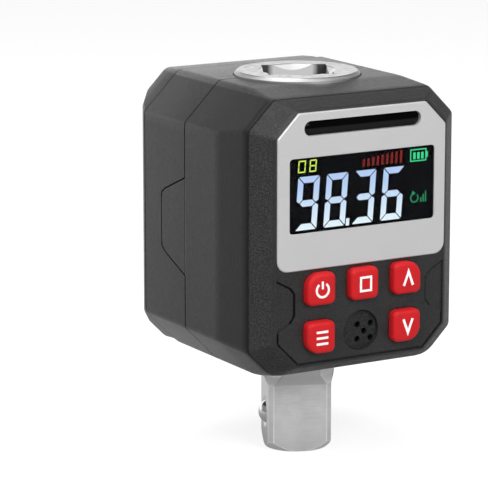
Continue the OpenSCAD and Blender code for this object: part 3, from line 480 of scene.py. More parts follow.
def housing_look(name, tone):
    """Black moulded plastic: fine grain, coarse sparks on the sloped band round the panel, and painted light
    and shade.
    """
    look = Look(name, (tone,) * 3, 0.5, Specular_IOR_Level=0.38)
    x, y, z = look.axes()
    off_panel = look.ramp(y, PANEL_Y + BAND_START, PANEL_Y + BAND_FULL)
    band = look.both(off_panel, look.ramp(y, SHOULDER_Y + SHARP, SHOULDER_Y - SHARP))
    fine = look.noise(GRAIN_SIZE, detail=4, rough=0.75)
    coarse = look.noise(SPARK_SIZE, detail=3, rough=0.75)
    patches = look.noise(PATCH_SIZE, detail=3)
    grain = look.span(look.total(look.both(fine, 1 - PATCH_SHARE), look.both(patches, PATCH_SHARE)),
                      GRAIN_LOW, GRAIN_HIGH)
    base = look.blend(grain, grey(tone * GRAIN_DARK), grey(tone * GRAIN_PALE, COOL))
    sparks = look.both(look.span(coarse, SPARK_LOW, SPARK_HIGH), band)
    speckled = look.blend(sparks, base, grey(tone * SPARK_PALE))
    crease_shade, groove = crease_shade_masks(look, x, y, z)
    # Colour times the painted light and shade, and darkened along the creases by painted shade
    gain = look.both(painted_light_gain(look, x, y, z, off_panel), look.rest(look.both(crease_shade, CREASE_SHADE)))
    look.set("Base Color", look.scale(speckled, gain))
    # Where the creases get painted shade they are also rougher and metallic, so that they reflect less
    look.set("Roughness", look.total(look.patchy(size=0.5, detail=2, low=0.31, high=0.43),
                                     look.both(crease_shade, CREASE_ROUGH)))
    look.set("Metallic", look.both(crease_shade, CREASE_METAL))
    from_disc = look.distance(look.point(X=x, Z=z), (DISC_X * MM, 0.0, DISC_Z * MM))
    disc = look.both(look.ramp(from_disc, DISC_R, DISC_R - DISC_EDGE),
                     look.ramp(y, PANEL_Y + DISC_BACK_END, PANEL_Y + DISC_BACK_FULL))
    look.bump(fine, GRAIN_DEPTH)
    look.bump(look.both(coarse, band), SPARK_DEPTH)
    look.bump(look.both(coarse, disc), DISC_DEPTH)
    look.bump(groove, -CREASE_DEPTH)
    return look.material


# Plated steel: where each finish of the shaft lies, and its tones, with painted light and shade on the drive,
# on the flange's top face and inside the socket

PLATED = (0.72, 0.72, 0.73)
SIDES = 4
LOWER_END, UPPER_START = 40, 60
TOP_FACE_FULL, TOP_FACE_END = 0.04, 0.1
SOCKET_R = 9.5
POCKET_START, POCKET_FULL = 7.5, 8.2
RIM_START, RIM_FULL, RIM_ROUGH = 11.8, 12.0, 0.28
TIP_START, TIP_FULL = 0.14, 0.05
# Edges between flats and corners get a painted highlight, and the lowest part of the drive painted shade
EDGE_DEGREES, EDGE_FADE_DEGREES, EDGE_HIGHLIGHT_SHARE = 0.5, 1.1, 0.8
FOOT_HEIGHT, FOOT_SHARE = 9, 0.6
FACE_REACH = 9
DRIVE_DARK, DRIVE_PALE = 0.69, 0.85
# Painted tones: shade at the foot, shaded flats and lit corners on the neck, and the tip's chamfer
FOOT_SHADE_TONE, NECK_SHADE_TONE, TIP_PAINTED_TONE = 0.5, 0.66, 0.78
FLANGE_DARK, FLANGE_PALE = 0.46, 0.52
# Flange's top face, painted darker at the back and paler at the front, as painted light
FACE_BACK, FACE_FRONT = 0.19, 0.26
# Inside the socket: walls painted pale as if lit, and corner pockets painted dark as shade
WALL_LIT_TONE, POCKET_SHADE_TONE = 0.54, 0.05
# Metal of the drive, and the share of it taken away where light is painted
DRIVE_METAL, PAINTED_LIGHT_SHARE = 0.55, 0.8
LINE_SIZE, LINE_STRETCH, LINE_DEPTH = 0.14, 0.05, 0.012
RING_PITCH, RING_DEPTH = 0.9, 0.0016


def drive_masks(look, x, y, z):
    """Masks of the neck, of the corners between its flats, and of the edges between flats and corners."""
    neck = look.ramp(z, DRIVE_LENGTH - HAIR, DRIVE_LENGTH + HAIR)
    turn = look.math("SUBTRACT", look.math("ARCTAN2", y, x), DRIVE_TURN)
    from_flat = look.both(look.math("ARCCOSINE", look.math("COSINE", look.both(turn, SIDES))), 1 / SIDES)
    limit = look.ramp(z, DRIVE_LENGTH, DRIVE_LENGTH + NECK_RISE,
                      math.radians(FACE_EDGE_DEGREES), math.radians(NECK_EDGE_DEGREES))
    past_edge = look.math("SUBTRACT", from_flat, limit)
    half = math.radians(EDGE_DEGREES)
    corner = look.span(past_edge, -half, half)
    edge = look.span(look.size(past_edge), math.radians(EDGE_FADE_DEGREES), half)
    return neck, corner, edge


def plated_look(name):
    """Plated steel, turned and bright at the flange and ground satin on the drive, with painted light and
    shade: a painted highlight along the drive's edges, painted shade at its foot, painted light and shade on
    its neck and tip, a flange top painted darker and paler to the front, and pale walls and dark pockets
    painted inside the socket.
    """
    look = Look(name, PLATED, 0.3, 1.0)
    x, y, z = look.axes()
    radius = look.add("VectorMath", {0: look.stretched(z=0.0)}, operation="LENGTH").outputs["Value"]
    upper = look.ramp(z, LOWER_END, UPPER_START)
    lower = look.rest(upper)
    below_top = look.ramp(z, FLANGE_TOP - TOP_FACE_FULL, FLANGE_TOP - TOP_FACE_END)
    inside = look.both(look.both(upper, below_top), look.ramp(radius, SOCKET_R + SHARP, SOCKET_R - SHARP))
    top_face = look.both(upper, look.rest(below_top))
    neck, corner, edge = drive_masks(look, x, y, z)
    below_cone = look.math("SUBTRACT", look.math("ADD", z, TIP_R * MM), radius)
    tip = look.ramp(below_cone, TIP_START, TIP_FULL)

    cloud = look.noise(3.0, detail=3)
    lines = look.noise(LINE_SIZE, 3, 0.6, look.stretched(LINE_STRETCH, LINE_STRETCH, 1.0))
    wear_and_painted_light = look.total(look.both(cloud, 0.5), look.both(lines, 0.5))
    tone = look.blend(look.span(wear_and_painted_light, 0.35, 0.65), grey(DRIVE_DARK), grey(DRIVE_PALE, FAINTLY_WARM))
    # Painted shade, darker towards the foot
    tone = look.blend(look.ramp(z, FOOT_HEIGHT, 0.0, 0.0, FOOT_SHARE), tone, grey(FOOT_SHADE_TONE))
    # Painted highlight along the edges between flats and corners
    tone = look.blend(look.both(edge, EDGE_HIGHLIGHT_SHARE), tone, grey(1.0))
    # Painted light and shade on the neck: darker flats, white corners
    tone = look.blend(neck, tone, look.blend(corner, grey(NECK_SHADE_TONE), grey(1.0)))
    # Painted tone on the tip's chamfer, standing in for its light
    tone = look.blend(tip, tone, grey(TIP_PAINTED_TONE))
    tone = look.blend(upper, tone, look.blend(cloud, grey(FLANGE_DARK), grey(FLANGE_PALE, FAINTLY_COOL)))
    # Painted light on the flange's top face: dark, and paler towards the front
    to_front = look.ramp(y, FACE_REACH, -FACE_REACH)
    tone = look.blend(top_face, tone, look.blend(to_front, grey(FACE_BACK), grey(FACE_FRONT)))
    # Painted light and shade inside the socket: pale walls and dark corner pockets
    pocket = look.ramp(radius, POCKET_START, POCKET_FULL)
    look.set("Base Color", look.blend(inside, tone, look.blend(pocket, grey(WALL_LIT_TONE), grey(POCKET_SHADE_TONE))))

    satin = look.span(lines, NOISE_LOW, NOISE_HIGH, 0.30, 0.44)
    rim = look.both(below_top, look.ramp(radius, RIM_START, RIM_FULL, 0.0, RIM_ROUGH))
    turned = look.total(look.patchy(size=1.4, detail=3, low=0.16, high=0.26), rim)
    look.set("Roughness", look.add("Mix", {0: upper, 2: satin, 3: turned}, data_type="FLOAT").outputs[0])
    metal = look.span(upper, 0.0, 1.0, DRIVE_METAL, 1.0)
    # Where light is painted, most of the metal is taken away so that the painted tone shows
    matte_painted_light = look.total(look.both(look.both(neck, corner), lower), tip)
    matte_painted_light = look.math("MINIMUM", look.total(look.both(matte_painted_light, PAINTED_LIGHT_SHARE), inside), 1.0)
    look.set("Metallic", look.both(metal, look.rest(matte_painted_light)))
    rings = look.add("TexWave", {"Vector": look.place, "Scale": 1 / (RING_PITCH * MM), "Distortion": 0.6,
                                 "Detail": 2.0}, wave_type="RINGS", rings_direction="Z")
    look.bump(look.both(rings.outputs["Fac"], upper), RING_DEPTH)
    look.bump(look.both(lines, lower), LINE_DEPTH)
    return look.material


# Looks of the smaller pieces

def rubber_look(name, color):
    """Soft moulded rubber with a faint sheen."""
    look = Look(name, color, 0.5, Specular_IOR_Level=0.2, Sheen_Weight=0.05, Sheen_Roughness=0.4)
    cloud = look.noise(size=2.5, detail=3)
    look.set("Base Color", look.blend(cloud, rgba(color, gain=0.86), rgba(color, gain=1.08)))
    look.set("Roughness", look.patchy(size=0.3, detail=2, low=0.42, high=0.58))
    look.bump(look.noise(size=0.12), depth=0.006)
    return look.material


def ink_look(name, color):
    """Printed ink, slightly uneven."""
    look = Look(name, color, 0.55, Specular_IOR_Level=0.3)
    wear_and_painted_light = look.noise(size=0.35, detail=3, rough=0.6)
    look.set("Base Color", look.blend(wear_and_painted_light, rgba(color), rgba(color, gain=0.93)))
    look.bump(look.noise(size=0.08), depth=0.004)
    return look.material


def silver_look(name):
    """Silver paint on a plate: fine flakes with a satin coat."""
    look = Look(name, (0.56, 0.56, 0.57), 0.42, 0.35, Specular_IOR_Level=0.5)
    flake = look.noise(size=0.09, detail=2, rough=0.7)
    tone = look.blend(look.noise(size=14), grey(0.53), grey(0.58, FAINTLY_COOL))
    look.set("Base Color", look.blend(look.span(flake, 0.45, 0.75, 0.0, 0.35), tone, grey(0.72)))
    look.set("Roughness", look.span(flake, NOISE_LOW, NOISE_HIGH, 0.36, 0.5))
    look.bump(flake, depth=0.004)
    return look.material


def metal_look(name, color, roughness):
    """Plain bright metal."""
    look = Look(name, color, roughness, 1.0)
    cloud = look.noise(size=1.6, detail=3)
    look.set("Base Color", look.blend(cloud, rgba(color), rgba(color, gain=0.82)))
    look.set("Roughness", look.patchy(size=0.4, detail=3, low=roughness * 0.8, high=roughness * 1.25))
    look.bump(look.noise(size=0.2), depth=0.003)
    return look.material


def moulded_look(name, color, roughness):
    """Plain hard plastic."""
    look = Look(name, color, roughness)
    cloud = look.noise(size=3.0, detail=3)
    look.set("Base Color", look.blend(cloud, rgba(color, gain=0.8), rgba(color)))
    look.set("Roughness", look.patchy(size=0.5, detail=2, low=roughness * 0.85, high=roughness * 1.15))
    look.bump(look.noise(size=0.15, detail=3), depth=0.006)
    return look.material


# Reach of the change from black to the paler band of painted reflection, above and below the middle of the
# light bar
REFLECTION_BAND_ABOVE, REFLECTION_BAND_BELOW = 0.05, 0.25


def slot_look(name):
    """Dark light bar: black above, with a paler band below that is a painted reflection of the floor."""
    look = Look(name, (0.004, 0.004, 0.005), 0.12, Specular_IOR_Level=0.05)
    z = look.axes()[2]
    middle = (SLOT_LOW.z + SLOT_HIGH.z) / 2
    # Painted reflection: the lower half of the bar is paler
    painted_reflection = look.ramp(z, middle + REFLECTION_BAND_ABOVE, middle - REFLECTION_BAND_BELOW)
    grain = look.noise(size=0.3, detail=3)
    pale = look.blend(grain, grey(0.009), grey(0.015, WARM))
    look.set("Base Color", look.blend(painted_reflection, grey(0.001), pale))
    look.set("Roughness", look.span(grain, NOISE_LOW, NOISE_HIGH, 0.1, 0.2))
    look.bump(look.noise(size=0.6), depth=0.004)
    return look.material


def glass_look(name):
    """Clear window."""
    look = Look(name, NEUTRAL, 0.0, IOR=1.1, Transmission_Weight=1.0)
    look.set("Roughness", look.patchy(size=2.0, detail=3, low=0.0, high=0.004))
    return look.material


def screen_look(name):
    """Black display glass with a very faint grid of unlit cells."""
    look = Look(name, (0.003, 0.0035, 0.006), 0.6, Specular_IOR_Level=0.0)
    grid = look.cells(0.5, look.stretched(1.0, 0.0, 1.0))
    look.set("Base Color", look.blend(grid, grey(0.0010, BLUISH), grey(0.0018, BLUISH)))
    look.bump(look.noise(size=0.4), depth=0.002)
    return look.material


def lit_look(name, low_color, high_color, z_low, z_high):
    """Lit display segments, whose colour changes from a low to a high place on the glass."""
    look = Look(name, (0.0, 0.0, 0.0), 0.5, Specular_IOR_Level=0.1, Emission_Strength=1.0)
    z = look.axes()[2]
    color = look.blend(look.ramp(z, z_low, z_high), rgba(low_color), rgba(high_color))
    uneven = look.patchy(size=0.25, detail=2, low=0.0, high=0.06)
    look.set("Emission Color", look.blend(uneven, color, grey(0.0)))
    return look.material


def cell_look(name):
    """Round cell: printed sleeve with a pale band, and plated ends."""
    look = Look(name, (0.05, 0.12, 0.22), 0.3)
    low, high = (p.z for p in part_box("cell_left"))
    share = look.span(look.axes()[2], low, high)
    sleeve = look.blend(look.noise(size=4.0), rgba((0.02, 0.06, 0.13)), rgba((0.03, 0.09, 0.18)))
    band = look.both(look.span(share, 0.66, 0.665), look.span(share, 0.76, 0.755))
    printed = look.blend(band, sleeve, rgba((0.62, 0.64, 0.66)))
    ends = look.total(look.span(share, 0.972, 0.978), look.span(share, 0.006, 0.0))
    ends = look.math("MINIMUM", ends, 1.0)
    look.set("Base Color", look.blend(ends, printed, rgba((0.66, 0.66, 0.64))))
    look.set("Metallic", look.span(ends, 0.0, 1.0, 0.15, 0.95))
    look.set("Roughness", look.patchy(size=0.8, detail=3, low=0.22, high=0.34))
    look.bump(look.noise(size=0.3), depth=0.002)
    return look.material


def board_look(name):
    """Solder mask with copper tracks that show through it."""
    look = Look(name, (0.012, 0.11, 0.045), 0.35)
    upright = look.add("Mapping", {"Vector": look.place, "Rotation": (math.pi / 2, 0.0, 0.0)})
    tracks = look.add("TexBrick", {"Vector": upright.outputs["Vector"], "Scale": 1 / (4.0 * MM),
                                   "Mortar Size": 0.05, "Mortar Smooth": 0.1}).outputs["Fac"]
    mask = look.blend(look.noise(size=2.0, detail=3), rgba((0.009, 0.085, 0.035)), rgba((0.014, 0.12, 0.05)))
    look.set("Base Color", look.blend(tracks, mask, rgba((0.03, 0.2, 0.08))))
    look.set("Roughness", look.patchy(size=0.4, detail=2, low=0.3, high=0.42))
    look.bump(tracks, depth=0.03)
    return look.material


def foil_look(name):
    """Etched foil gauge: bright grid lines on an amber backing."""
    look = Look(name, (0.55, 0.28, 0.06), 0.35, 0.3)
    wave = look.add("TexWave", {"Vector": look.place, "Scale": 1 / (3.0 * MM), "Distortion": 0.0},
                    wave_type="BANDS", bands_direction="Z")
    grid = look.span(wave.outputs["Fac"], 0.45, 0.55)
    look.set("Base Color", look.blend(grid, rgba((0.42, 0.2, 0.03)), rgba((0.75, 0.62, 0.45))))
    look.bump(grid, depth=0.004)
    return look.material


looks = {
    "housing_plastic": housing_look("housing_plastic", HOUSING_TONE),
    "door_plastic": housing_look("door_plastic", DOOR_TONE),
    "bezel_silver": silver_look("bezel_silver"),
    "black_gloss": slot_look("black_gloss"),
    "display_glass": glass_look("display_glass"),
    "display_black": screen_look("display_black"),
    "board_green": board_look("board_green"),
    "satin_steel": plated_look("satin_steel"),
    "gauge_foil": foil_look("gauge_foil"),
    "cell_sleeve": cell_look("cell_sleeve"),
}
rubbers = {
    "key_red": (0.56, 0.010, 0.014),
    "sheet_grey": (0.3, 0.3, 0.31),
    "seal_black": (0.012, 0.012, 0.012),
    "lead_black": (0.02, 0.02, 0.022),
}
metals = {
    "dome_metal": ((0.7, 0.69, 0.66), 0.25),
    "screw_steel": ((0.42, 0.43, 0.44), 0.32),
    "spring_steel": ((0.32, 0.33, 0.34), 0.3),
    "ball_chrome": ((0.75, 0.75, 0.76), 0.12),
    "contact_plate": ((0.6, 0.52, 0.33), 0.28),
}
plastics = {
    "chip_black": ((0.014, 0.014, 0.015), 0.5),
    "led_white": ((0.85, 0.84, 0.78), 0.3),
    "bush_white": ((0.8, 0.78, 0.72), 0.4),
}
for slot, color in rubbers.items():
    looks[slot] = rubber_look(slot, color)
for slot, (color, roughness) in metals.items():
    looks[slot] = metal_look(slot, color, roughness)
for slot, (color, roughness) in plastics.items():
    looks[slot] = moulded_look(slot, color, roughness)


# Pieces that keep the shape of their CAD node, with the width of their softened edges

COVER_SHARP, SHAFT_SHARP, ROUND_SHARP = 28, 12, 40
COVER_EDGE, DOOR_EDGE, PLATE_EDGE, SHAFT_EDGE, CELL_EDGE = 0.12, 0.15, 0.05, 0.08, 0.25
node_body = {n: b for b, ns in frame["record"]["behaviour"]["bodies"].items() for n in ns}
node_slot = {s["node"]: s["material_slot"] for s in frame["record"]["subparts"]}


def dress_nodes(nodes, sharp_degrees, edge=0.0):
    """Gives each node a finished copy of itself, edged where an angle is sharper than the given one."""
    for node in nodes:
        made = dressed(node, node + "_finish", sharp_degrees, edge)
        slot = node_slot[node]
        add_piece(made, node_body[node], looks[slot], (node,))


dress_nodes(("front_cover", "rear_cover"), COVER_SHARP, COVER_EDGE)
dress_nodes(("battery_door",), COVER_SHARP, DOOR_EDGE)
dress_nodes(("bezel_plate",), COVER_SHARP, PLATE_EDGE)
dress_nodes(("drive_shaft",), SHAFT_SHARP, SHAFT_EDGE)
dress_nodes(("cell_left", "cell_right"), ROUND_SHARP, CELL_EDGE)
dress_nodes(("detent_ball", "detent_spring", "battery_springs", "gauge_lead", "upper_seal", "lower_seal",
             "upper_bush", "lower_bush", "retaining_ring", "stop_pin", "housing_screws", "board_screws",
             "buzzer", "contact_domes"), ROUND_SHARP)
dress_nodes(("battery_contacts", "board_parts", "indicator_leds", "circuit_board", "keypad_sheet",
             "strain_gauges", "display_module"), COVER_SHARP, PLATE_EDGE)


# Key caps, each with a flange and a pill behind it

KEY_EDGE = 0.8
KEY_CROWN = 0.09
KEY_CROWN_INSETS = (1.1, 1.5, 2.0, 2.5, 2.9)
KEY_ROUND, KEY_CORNER = 1.3, 2.9
KEY_DEPTH = 3.5
KEY_FLANGE = 0.8
KEY_FLANGE_T = 0.8
KEY_FLANGE_SINK = 1.84
PILL_R = 1.8
PILL_SIDES = 24
EDGE_STEPS = 6
big_corner = {"key_top_left": 0, "key_top_right": 1, "key_bottom_right": 2, "key_bottom_left": 3}


def key_face(low, high, radii):
    """The part of a cap that shows: a rounded edge and a crowned face."""
    corner_low = (low.x + KEY_FLANGE, low.z + KEY_FLANGE)
    corner_high = (high.x - KEY_FLANGE, high.z - KEY_FLANGE)
    half = (corner_high[0] - corner_low[0]) / 2
    rings = [at_y(rounded(corner_low, corner_high, radii), low.y + KEY_DEPTH)]
    for i in range(EDGE_STEPS + 1):
        turn = math.pi / 2 * i / EDGE_STEPS
        inset = KEY_EDGE * (1 - math.cos(turn))
        y = low.y + KEY_CROWN + (KEY_EDGE - KEY_CROWN / 2) * (1 - math.sin(turn))
        rings.append(at_y(rounded(corner_low, corner_high, radii, inset), y))
    for inset in KEY_CROWN_INSETS:
        share = (inset - KEY_EDGE) / (half - KEY_EDGE)
        y = low.y + KEY_CROWN * (1 - share) ** 2
        rings.append(at_y(rounded(corner_low, corner_high, radii, inset), y))
    return loft("face", rings)


def key_cap(node, low, high, centre):
    """A whole silicone cap."""
    radii = [KEY_ROUND] * 4
    if node in big_corner:
        radii[big_corner[node]] = KEY_CORNER
    front = PANEL_Y + KEY_FLANGE_SINK
    outline = rounded((low.x, low.z), (high.x, high.z), [r + KEY_FLANGE for r in radii])
    flange = plate("flange", outline, front, front + KEY_FLANGE_T)
    round_pill = arc(*centre, PILL_R, 0, 360 * (1 - 1 / PILL_SIDES), PILL_SIDES - 1)
    pill = plate("pill", round_pill, front + KEY_FLANGE_T / 2, high.y)
    cap = join(node + "_cap", [key_face(low, high, radii), flange, pill])
    smooth(cap, ROUND_SHARP)
    return cap


# Legends: a power mark, a square, three bars and two chevrons

LEGEND_W = 0.46
LEGEND_H = 3.2
LEGEND_T = 0.3
LEGEND_LEVEL = 0.93
POWER_R, POWER_DROP, POWER_START, POWER_END, POWER_STEPS = 1.35, 0.1, 125, 415, 32
SQUARE_HALF_W, SQUARE_HALF_H = 1.15, 1.3
MENU_HALF_W, MENU_PITCH = 1.3, 1.15
CHEVRON_HALF_W, CHEVRON_BACK, CHEVRON_TIP, CHEVRON_BOLD = 1.05, 1.4, 1.3, 1.15


def legend_strokes(node, cx, cz):
    """Strokes of a key's legend, each as its path, its width and whether it is closed."""
    if node == "key_top_left":
        return [(arc(cx, cz - POWER_DROP, POWER_R, POWER_START, POWER_END, POWER_STEPS), LEGEND_W, False),
                ([(cx, cz + POWER_DROP), (cx, cz + LEGEND_H / 2)], LEGEND_W, False)]
    if node == "key_top_centre":
        w, h = SQUARE_HALF_W, SQUARE_HALF_H
        return [([(cx - w, cz - h), (cx - w, cz + h), (cx + w, cz + h), (cx + w, cz - h)], LEGEND_W, True)]
    if node == "key_bottom_left":
        levels = [cz + step * MENU_PITCH for step in (-1, 0, 1)]
        return [([(cx - MENU_HALF_W, z), (cx + MENU_HALF_W, z)], LEGEND_W, False) for z in levels]
    way = 1 if node == "key_top_right" else -1
    back, tip = cz - way * CHEVRON_BACK, cz + way * CHEVRON_TIP
    path = [(cx - CHEVRON_HALF_W, back), (cx, tip), (cx + CHEVRON_HALF_W, back)]
    return [(path, LEGEND_W * CHEVRON_BOLD, False)]


legend_ink = ink_look("legend_ink", (LEGEND_LEVEL,) * 3)
for node in ("key_top_left", "key_top_centre", "key_top_right", "key_bottom_left", "key_bottom_right"):
    low, high = (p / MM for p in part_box(node))
    centre = ((low.x + high.x) / 2, (low.z + high.z) / 2)
    add_piece(key_cap(node, low, high, centre), node, looks["key_red"], (node,))
    legend = join(node + "_legend", [ribbon("stroke", path, width, low.y, low.y + LEGEND_T, closed)
                                     for path, width, closed in legend_strokes(node, *centre)])
    add_piece(legend, node, legend_ink)


# Light bar in its slot

BAR_STEPS = 10
BAR_FLANGE, BAR_FLANGE_T = 0.6, 0.75
BAR_DOME = 0.42
BAR_INSET_SHARE = 0.96
BAR_SHARP = 35


def light_bar():
    """Black bar with round ends and a gently domed face, on its foot."""
    low = (SLOT_LOW.x + BAR_FLANGE, SLOT_LOW.z + BAR_FLANGE)
    high = (SLOT_HIGH.x - BAR_FLANGE, SLOT_HIGH.z - BAR_FLANGE)
    radius = (high[1] - low[1]) / 2
    rings = [at_y(rounded(low, high, [radius] * 4), SLOT_HIGH.y - BAR_FLANGE_T / 2)]
    for i in range(BAR_STEPS + 1):
        share = i / BAR_STEPS
        inset = radius * BAR_INSET_SHARE * share
        y = SLOT_LOW.y + BAR_DOME * (1 - share) ** 2
        rings.append(at_y(rounded(low, high, [radius] * 4, inset), y))
    bar = loft("bar", rings)
    outline = rounded((SLOT_LOW.x, SLOT_LOW.z), (SLOT_HIGH.x, SLOT_HIGH.z), [radius + BAR_FLANGE] * 4)
    foot = plate("foot", outline, SLOT_HIGH.y - BAR_FLANGE_T, SLOT_HIGH.y)
    whole = join("light_bar", [bar, foot])
    smooth(whole, BAR_SHARP)
    add_piece(whole, "housing", looks["black_gloss"], ("indicator_lens",))


light_bar()


# Display: a thin window, the dark glass behind it, and the lit pieces let into that glass

WINDOW_T = 0.2
WINDOW_ROUND = 0.7
WINDOW_EDGE = 0.06
WINDOW_SHARP = 30
FILM_GAP = 0.03
LIT_CLEAR = 0.008
LIT_SINK = 0.02
WINDOW_BACK = LENS_LOW.y + WINDOW_T
FILM_FRONT = WINDOW_BACK + FILM_GAP
LIT_FRONT = WINDOW_BACK + LIT_CLEAR
LIT_BACK = FILM_FRONT + LIT_SINK

display_outline = rounded((LENS_LOW.x, LENS_LOW.z), (LENS_HIGH.x, LENS_HIGH.z), [WINDOW_ROUND] * 4)
window = plate("window_lens", display_outline, LENS_LOW.y, WINDOW_BACK)
smooth(window, WINDOW_SHARP)
soften(window, WINDOW_EDGE, WINDOW_SHARP)
add_piece(window, "housing", looks["display_glass"], ("display_lens",))
film = plate("display_film", display_outline, FILM_FRONT, LENS_HIGH.y)
smooth(film, WINDOW_SHARP)
add_piece(film, "housing", looks["display_black"])

# Segments of a digit
SEGMENT_CUT = 0.28
SEGMENT_STEP = 0.3
LEAST_INSET_MITRE = 0.3
digit_segments = {"0": "abcdef", "3": "abgcd", "6": "afgedc", "8": "abcdefg", "9": "abcdfg"}

# Reading, in distances from the lower left corner of the display
DIGIT_LEFTS = (1.08, 7.43, 13.73, 20.23)
DIGIT_LOW = 0.45
DIGIT_W, DIGIT_H, DIGIT_T, DIGIT_GAP = 5.0, 10.45, 1.42, 0.1
DIGIT_SLANT = 0.08
DOT_LEFT, DOT_W, DOT_H, DOT_LEAN = 12.58, 0.75, 1.4, 0.1
READING_FADE_LOW, READING_FADE_HIGH = 0.6, 8.6

# Row above the reading: memory count, level bars and battery
ROW_LOW = 11.5
COUNT_LEFTS, COUNT_WIDTHS = (1.83, 4.33), (1.7, 1.6)
COUNT_LIFT, COUNT_H, COUNT_T, COUNT_GAP = 0.05, 2.4, 0.3, 0.03
LEVEL_LEFT, LEVEL_PITCH, LEVEL_W, LEVEL_LEAN = 16.28, 1.06, 0.5, 0.12
LEVEL_COUNT, LEVEL_LEAST, LEVEL_STEP = 9, 1.4, 0.12
BATTERY_LEFT, BATTERY_W, BATTERY_H, BATTERY_STROKE = 27.28, 3.5, 2.2, 0.22
NUB_START, NUB_END, NUB_H = 0.13, 0.45, 1.1
CHARGE_LEFT, CHARGE_PITCH, CHARGE_W, CHARGE_COUNT = 0.85, 0.92, 0.56, 3
CHARGE_BELOW, CHARGE_ABOVE = 0.35, 0.55

# Mark at the right of the reading: a turning arrow and its level
TURN_X, TURN_Z, TURN_R, TURN_STROKE = 28.23, 4.3, 0.85, 0.24
TURN_START, TURN_END = 110, 400
ARROW_HEAD = ((-0.5, 1.45), (0.25, 0.85), (-0.55, 0.45))
STEP_LEFT, STEP_LOW, STEP_PITCH, STEP_W = 29.73, 3.35, 0.55, 0.26
STEP_HEIGHTS = (0.9, 1.5, 2.1)
TURN_FADE_LOW, TURN_FADE_HIGH = 3.1, 6.1

# Colours of the light
WHITE_LOW, WHITE_HIGH = (0.8, 0.94, 1.0), (0.47, 0.63, 0.92)
LIME = (0.72, 0.98, 0.12)
RED_LOW, RED_HIGH = (0.17, 0.008, 0.006), (0.2, 0.01, 0.008)
GREEN = (0.05, 0.74, 0.3)
SEA = (0.02, 0.3, 0.12)
ROW_FADE_LOW, ROW_FADE_HIGH = 11.1, 14.1


def on_display(points):
    """Points of the display, moved from its lower left corner to their place."""
    return [(LENS_LOW.x + x, LENS_LOW.z + z) for x, z in points]


def lit_plate(points):
    return plate("lit", on_display(points), LIT_FRONT, LIT_BACK)


def lit_stroke(path, width, closed=False):
    return ribbon("lit", on_display(path), width, LIT_FRONT, LIT_BACK, closed)


def leaning_bar(left, low, w, h, lean):
    return lit_plate([(left, low), (left + lean, low + h), (left + lean + w, low + h), (left + w, low)])


def shrunk(points, gap):
    """An outline moved inwards by a gap on every side."""
    moved = []
    count = len(points)
    for i, p in enumerate(points):
        a = (Vector(p) - Vector(points[i - 1])).normalized()
        b = (Vector(points[(i + 1) % count]) - Vector(p)).normalized()
        inward = Vector((a.y + b.y, -a.x - b.x)).normalized()
        reach = gap / max(LEAST_INSET_MITRE, inward.dot(Vector((a.y, -a.x))))
        moved.append((p[0] + inward.x * reach, p[1] + inward.y * reach))
    return moved


def segment_outlines(w, h, t):
    """Outlines of the seven segments, clockwise, in a box of width w and height h."""
    m, c = h / 2, SEGMENT_CUT * t
    top = [(c / 2, h - c / 2), (c, h), (w - c, h), (w - c / 2, h - c / 2), (w - t, h - t), (t, h - t)]
    upper_left = [(0, m + SEGMENT_STEP * t), (0, h - c), (c / 2, h - c / 2), (t, h - t), (t, m + t / 2),
                  (t / 2, m)]
    middle = [(t / 2, m), (t, m + t / 2), (w - t, m + t / 2), (w - t / 2, m), (w - t, m - t / 2),
              (t, m - t / 2)]
    upper_right = [(w - x, z) for x, z in reversed(upper_left)]
    return {
        "a": top, "g": middle, "f": upper_left, "b": upper_right,
        "d": [(x, h - z) for x, z in reversed(top)],
        "e": [(x, h - z) for x, z in reversed(upper_left)],
        "c": [(x, h - z) for x, z in reversed(upper_right)],
    }


def digit(text, left, low, w, h, t, gap):
    """Lit segments of one leaning digit."""
    outlines = segment_outlines(w, h, t)
    return [lit_plate([(left + x + DIGIT_SLANT * z, low + z) for x, z in shrunk(outlines[letter], gap)])
            for letter in digit_segments[text]]


def add_lit(name, parts, look_name, low_color, high_color, fade_low, fade_high):
    """A group of lit pieces, whose colour fades between two heights on the display."""
    look = lit_look(look_name, low_color, high_color, LENS_LOW.z + fade_low, LENS_LOW.z + fade_high)
    add_piece(join(name, parts), "housing", look)


parts = []
for text, left in zip("9836", DIGIT_LEFTS):
    parts += digit(text, left, DIGIT_LOW, DIGIT_W, DIGIT_H, DIGIT_T, DIGIT_GAP)
parts.append(leaning_bar(DOT_LEFT, DIGIT_LOW, DOT_W, DOT_H, DOT_LEAN))
add_lit("display_reading", parts, "lit_white", WHITE_LOW, WHITE_HIGH, READING_FADE_LOW, READING_FADE_HIGH)

parts = []
for text, left, width in zip("08", COUNT_LEFTS, COUNT_WIDTHS):
    parts += digit(text, left, ROW_LOW + COUNT_LIFT, width, COUNT_H, COUNT_T, COUNT_GAP)
add_lit("display_count", parts, "lit_lime", LIME, LIME, ROW_FADE_LOW, ROW_FADE_HIGH)

parts = [leaning_bar(LEVEL_LEFT + i * LEVEL_PITCH, ROW_LOW, LEVEL_W, LEVEL_LEAST + LEVEL_STEP * i, LEVEL_LEAN)
         for i in range(LEVEL_COUNT)]
add_lit("display_level", parts, "lit_red", RED_LOW, RED_HIGH, ROW_FADE_LOW, ROW_FADE_HIGH)

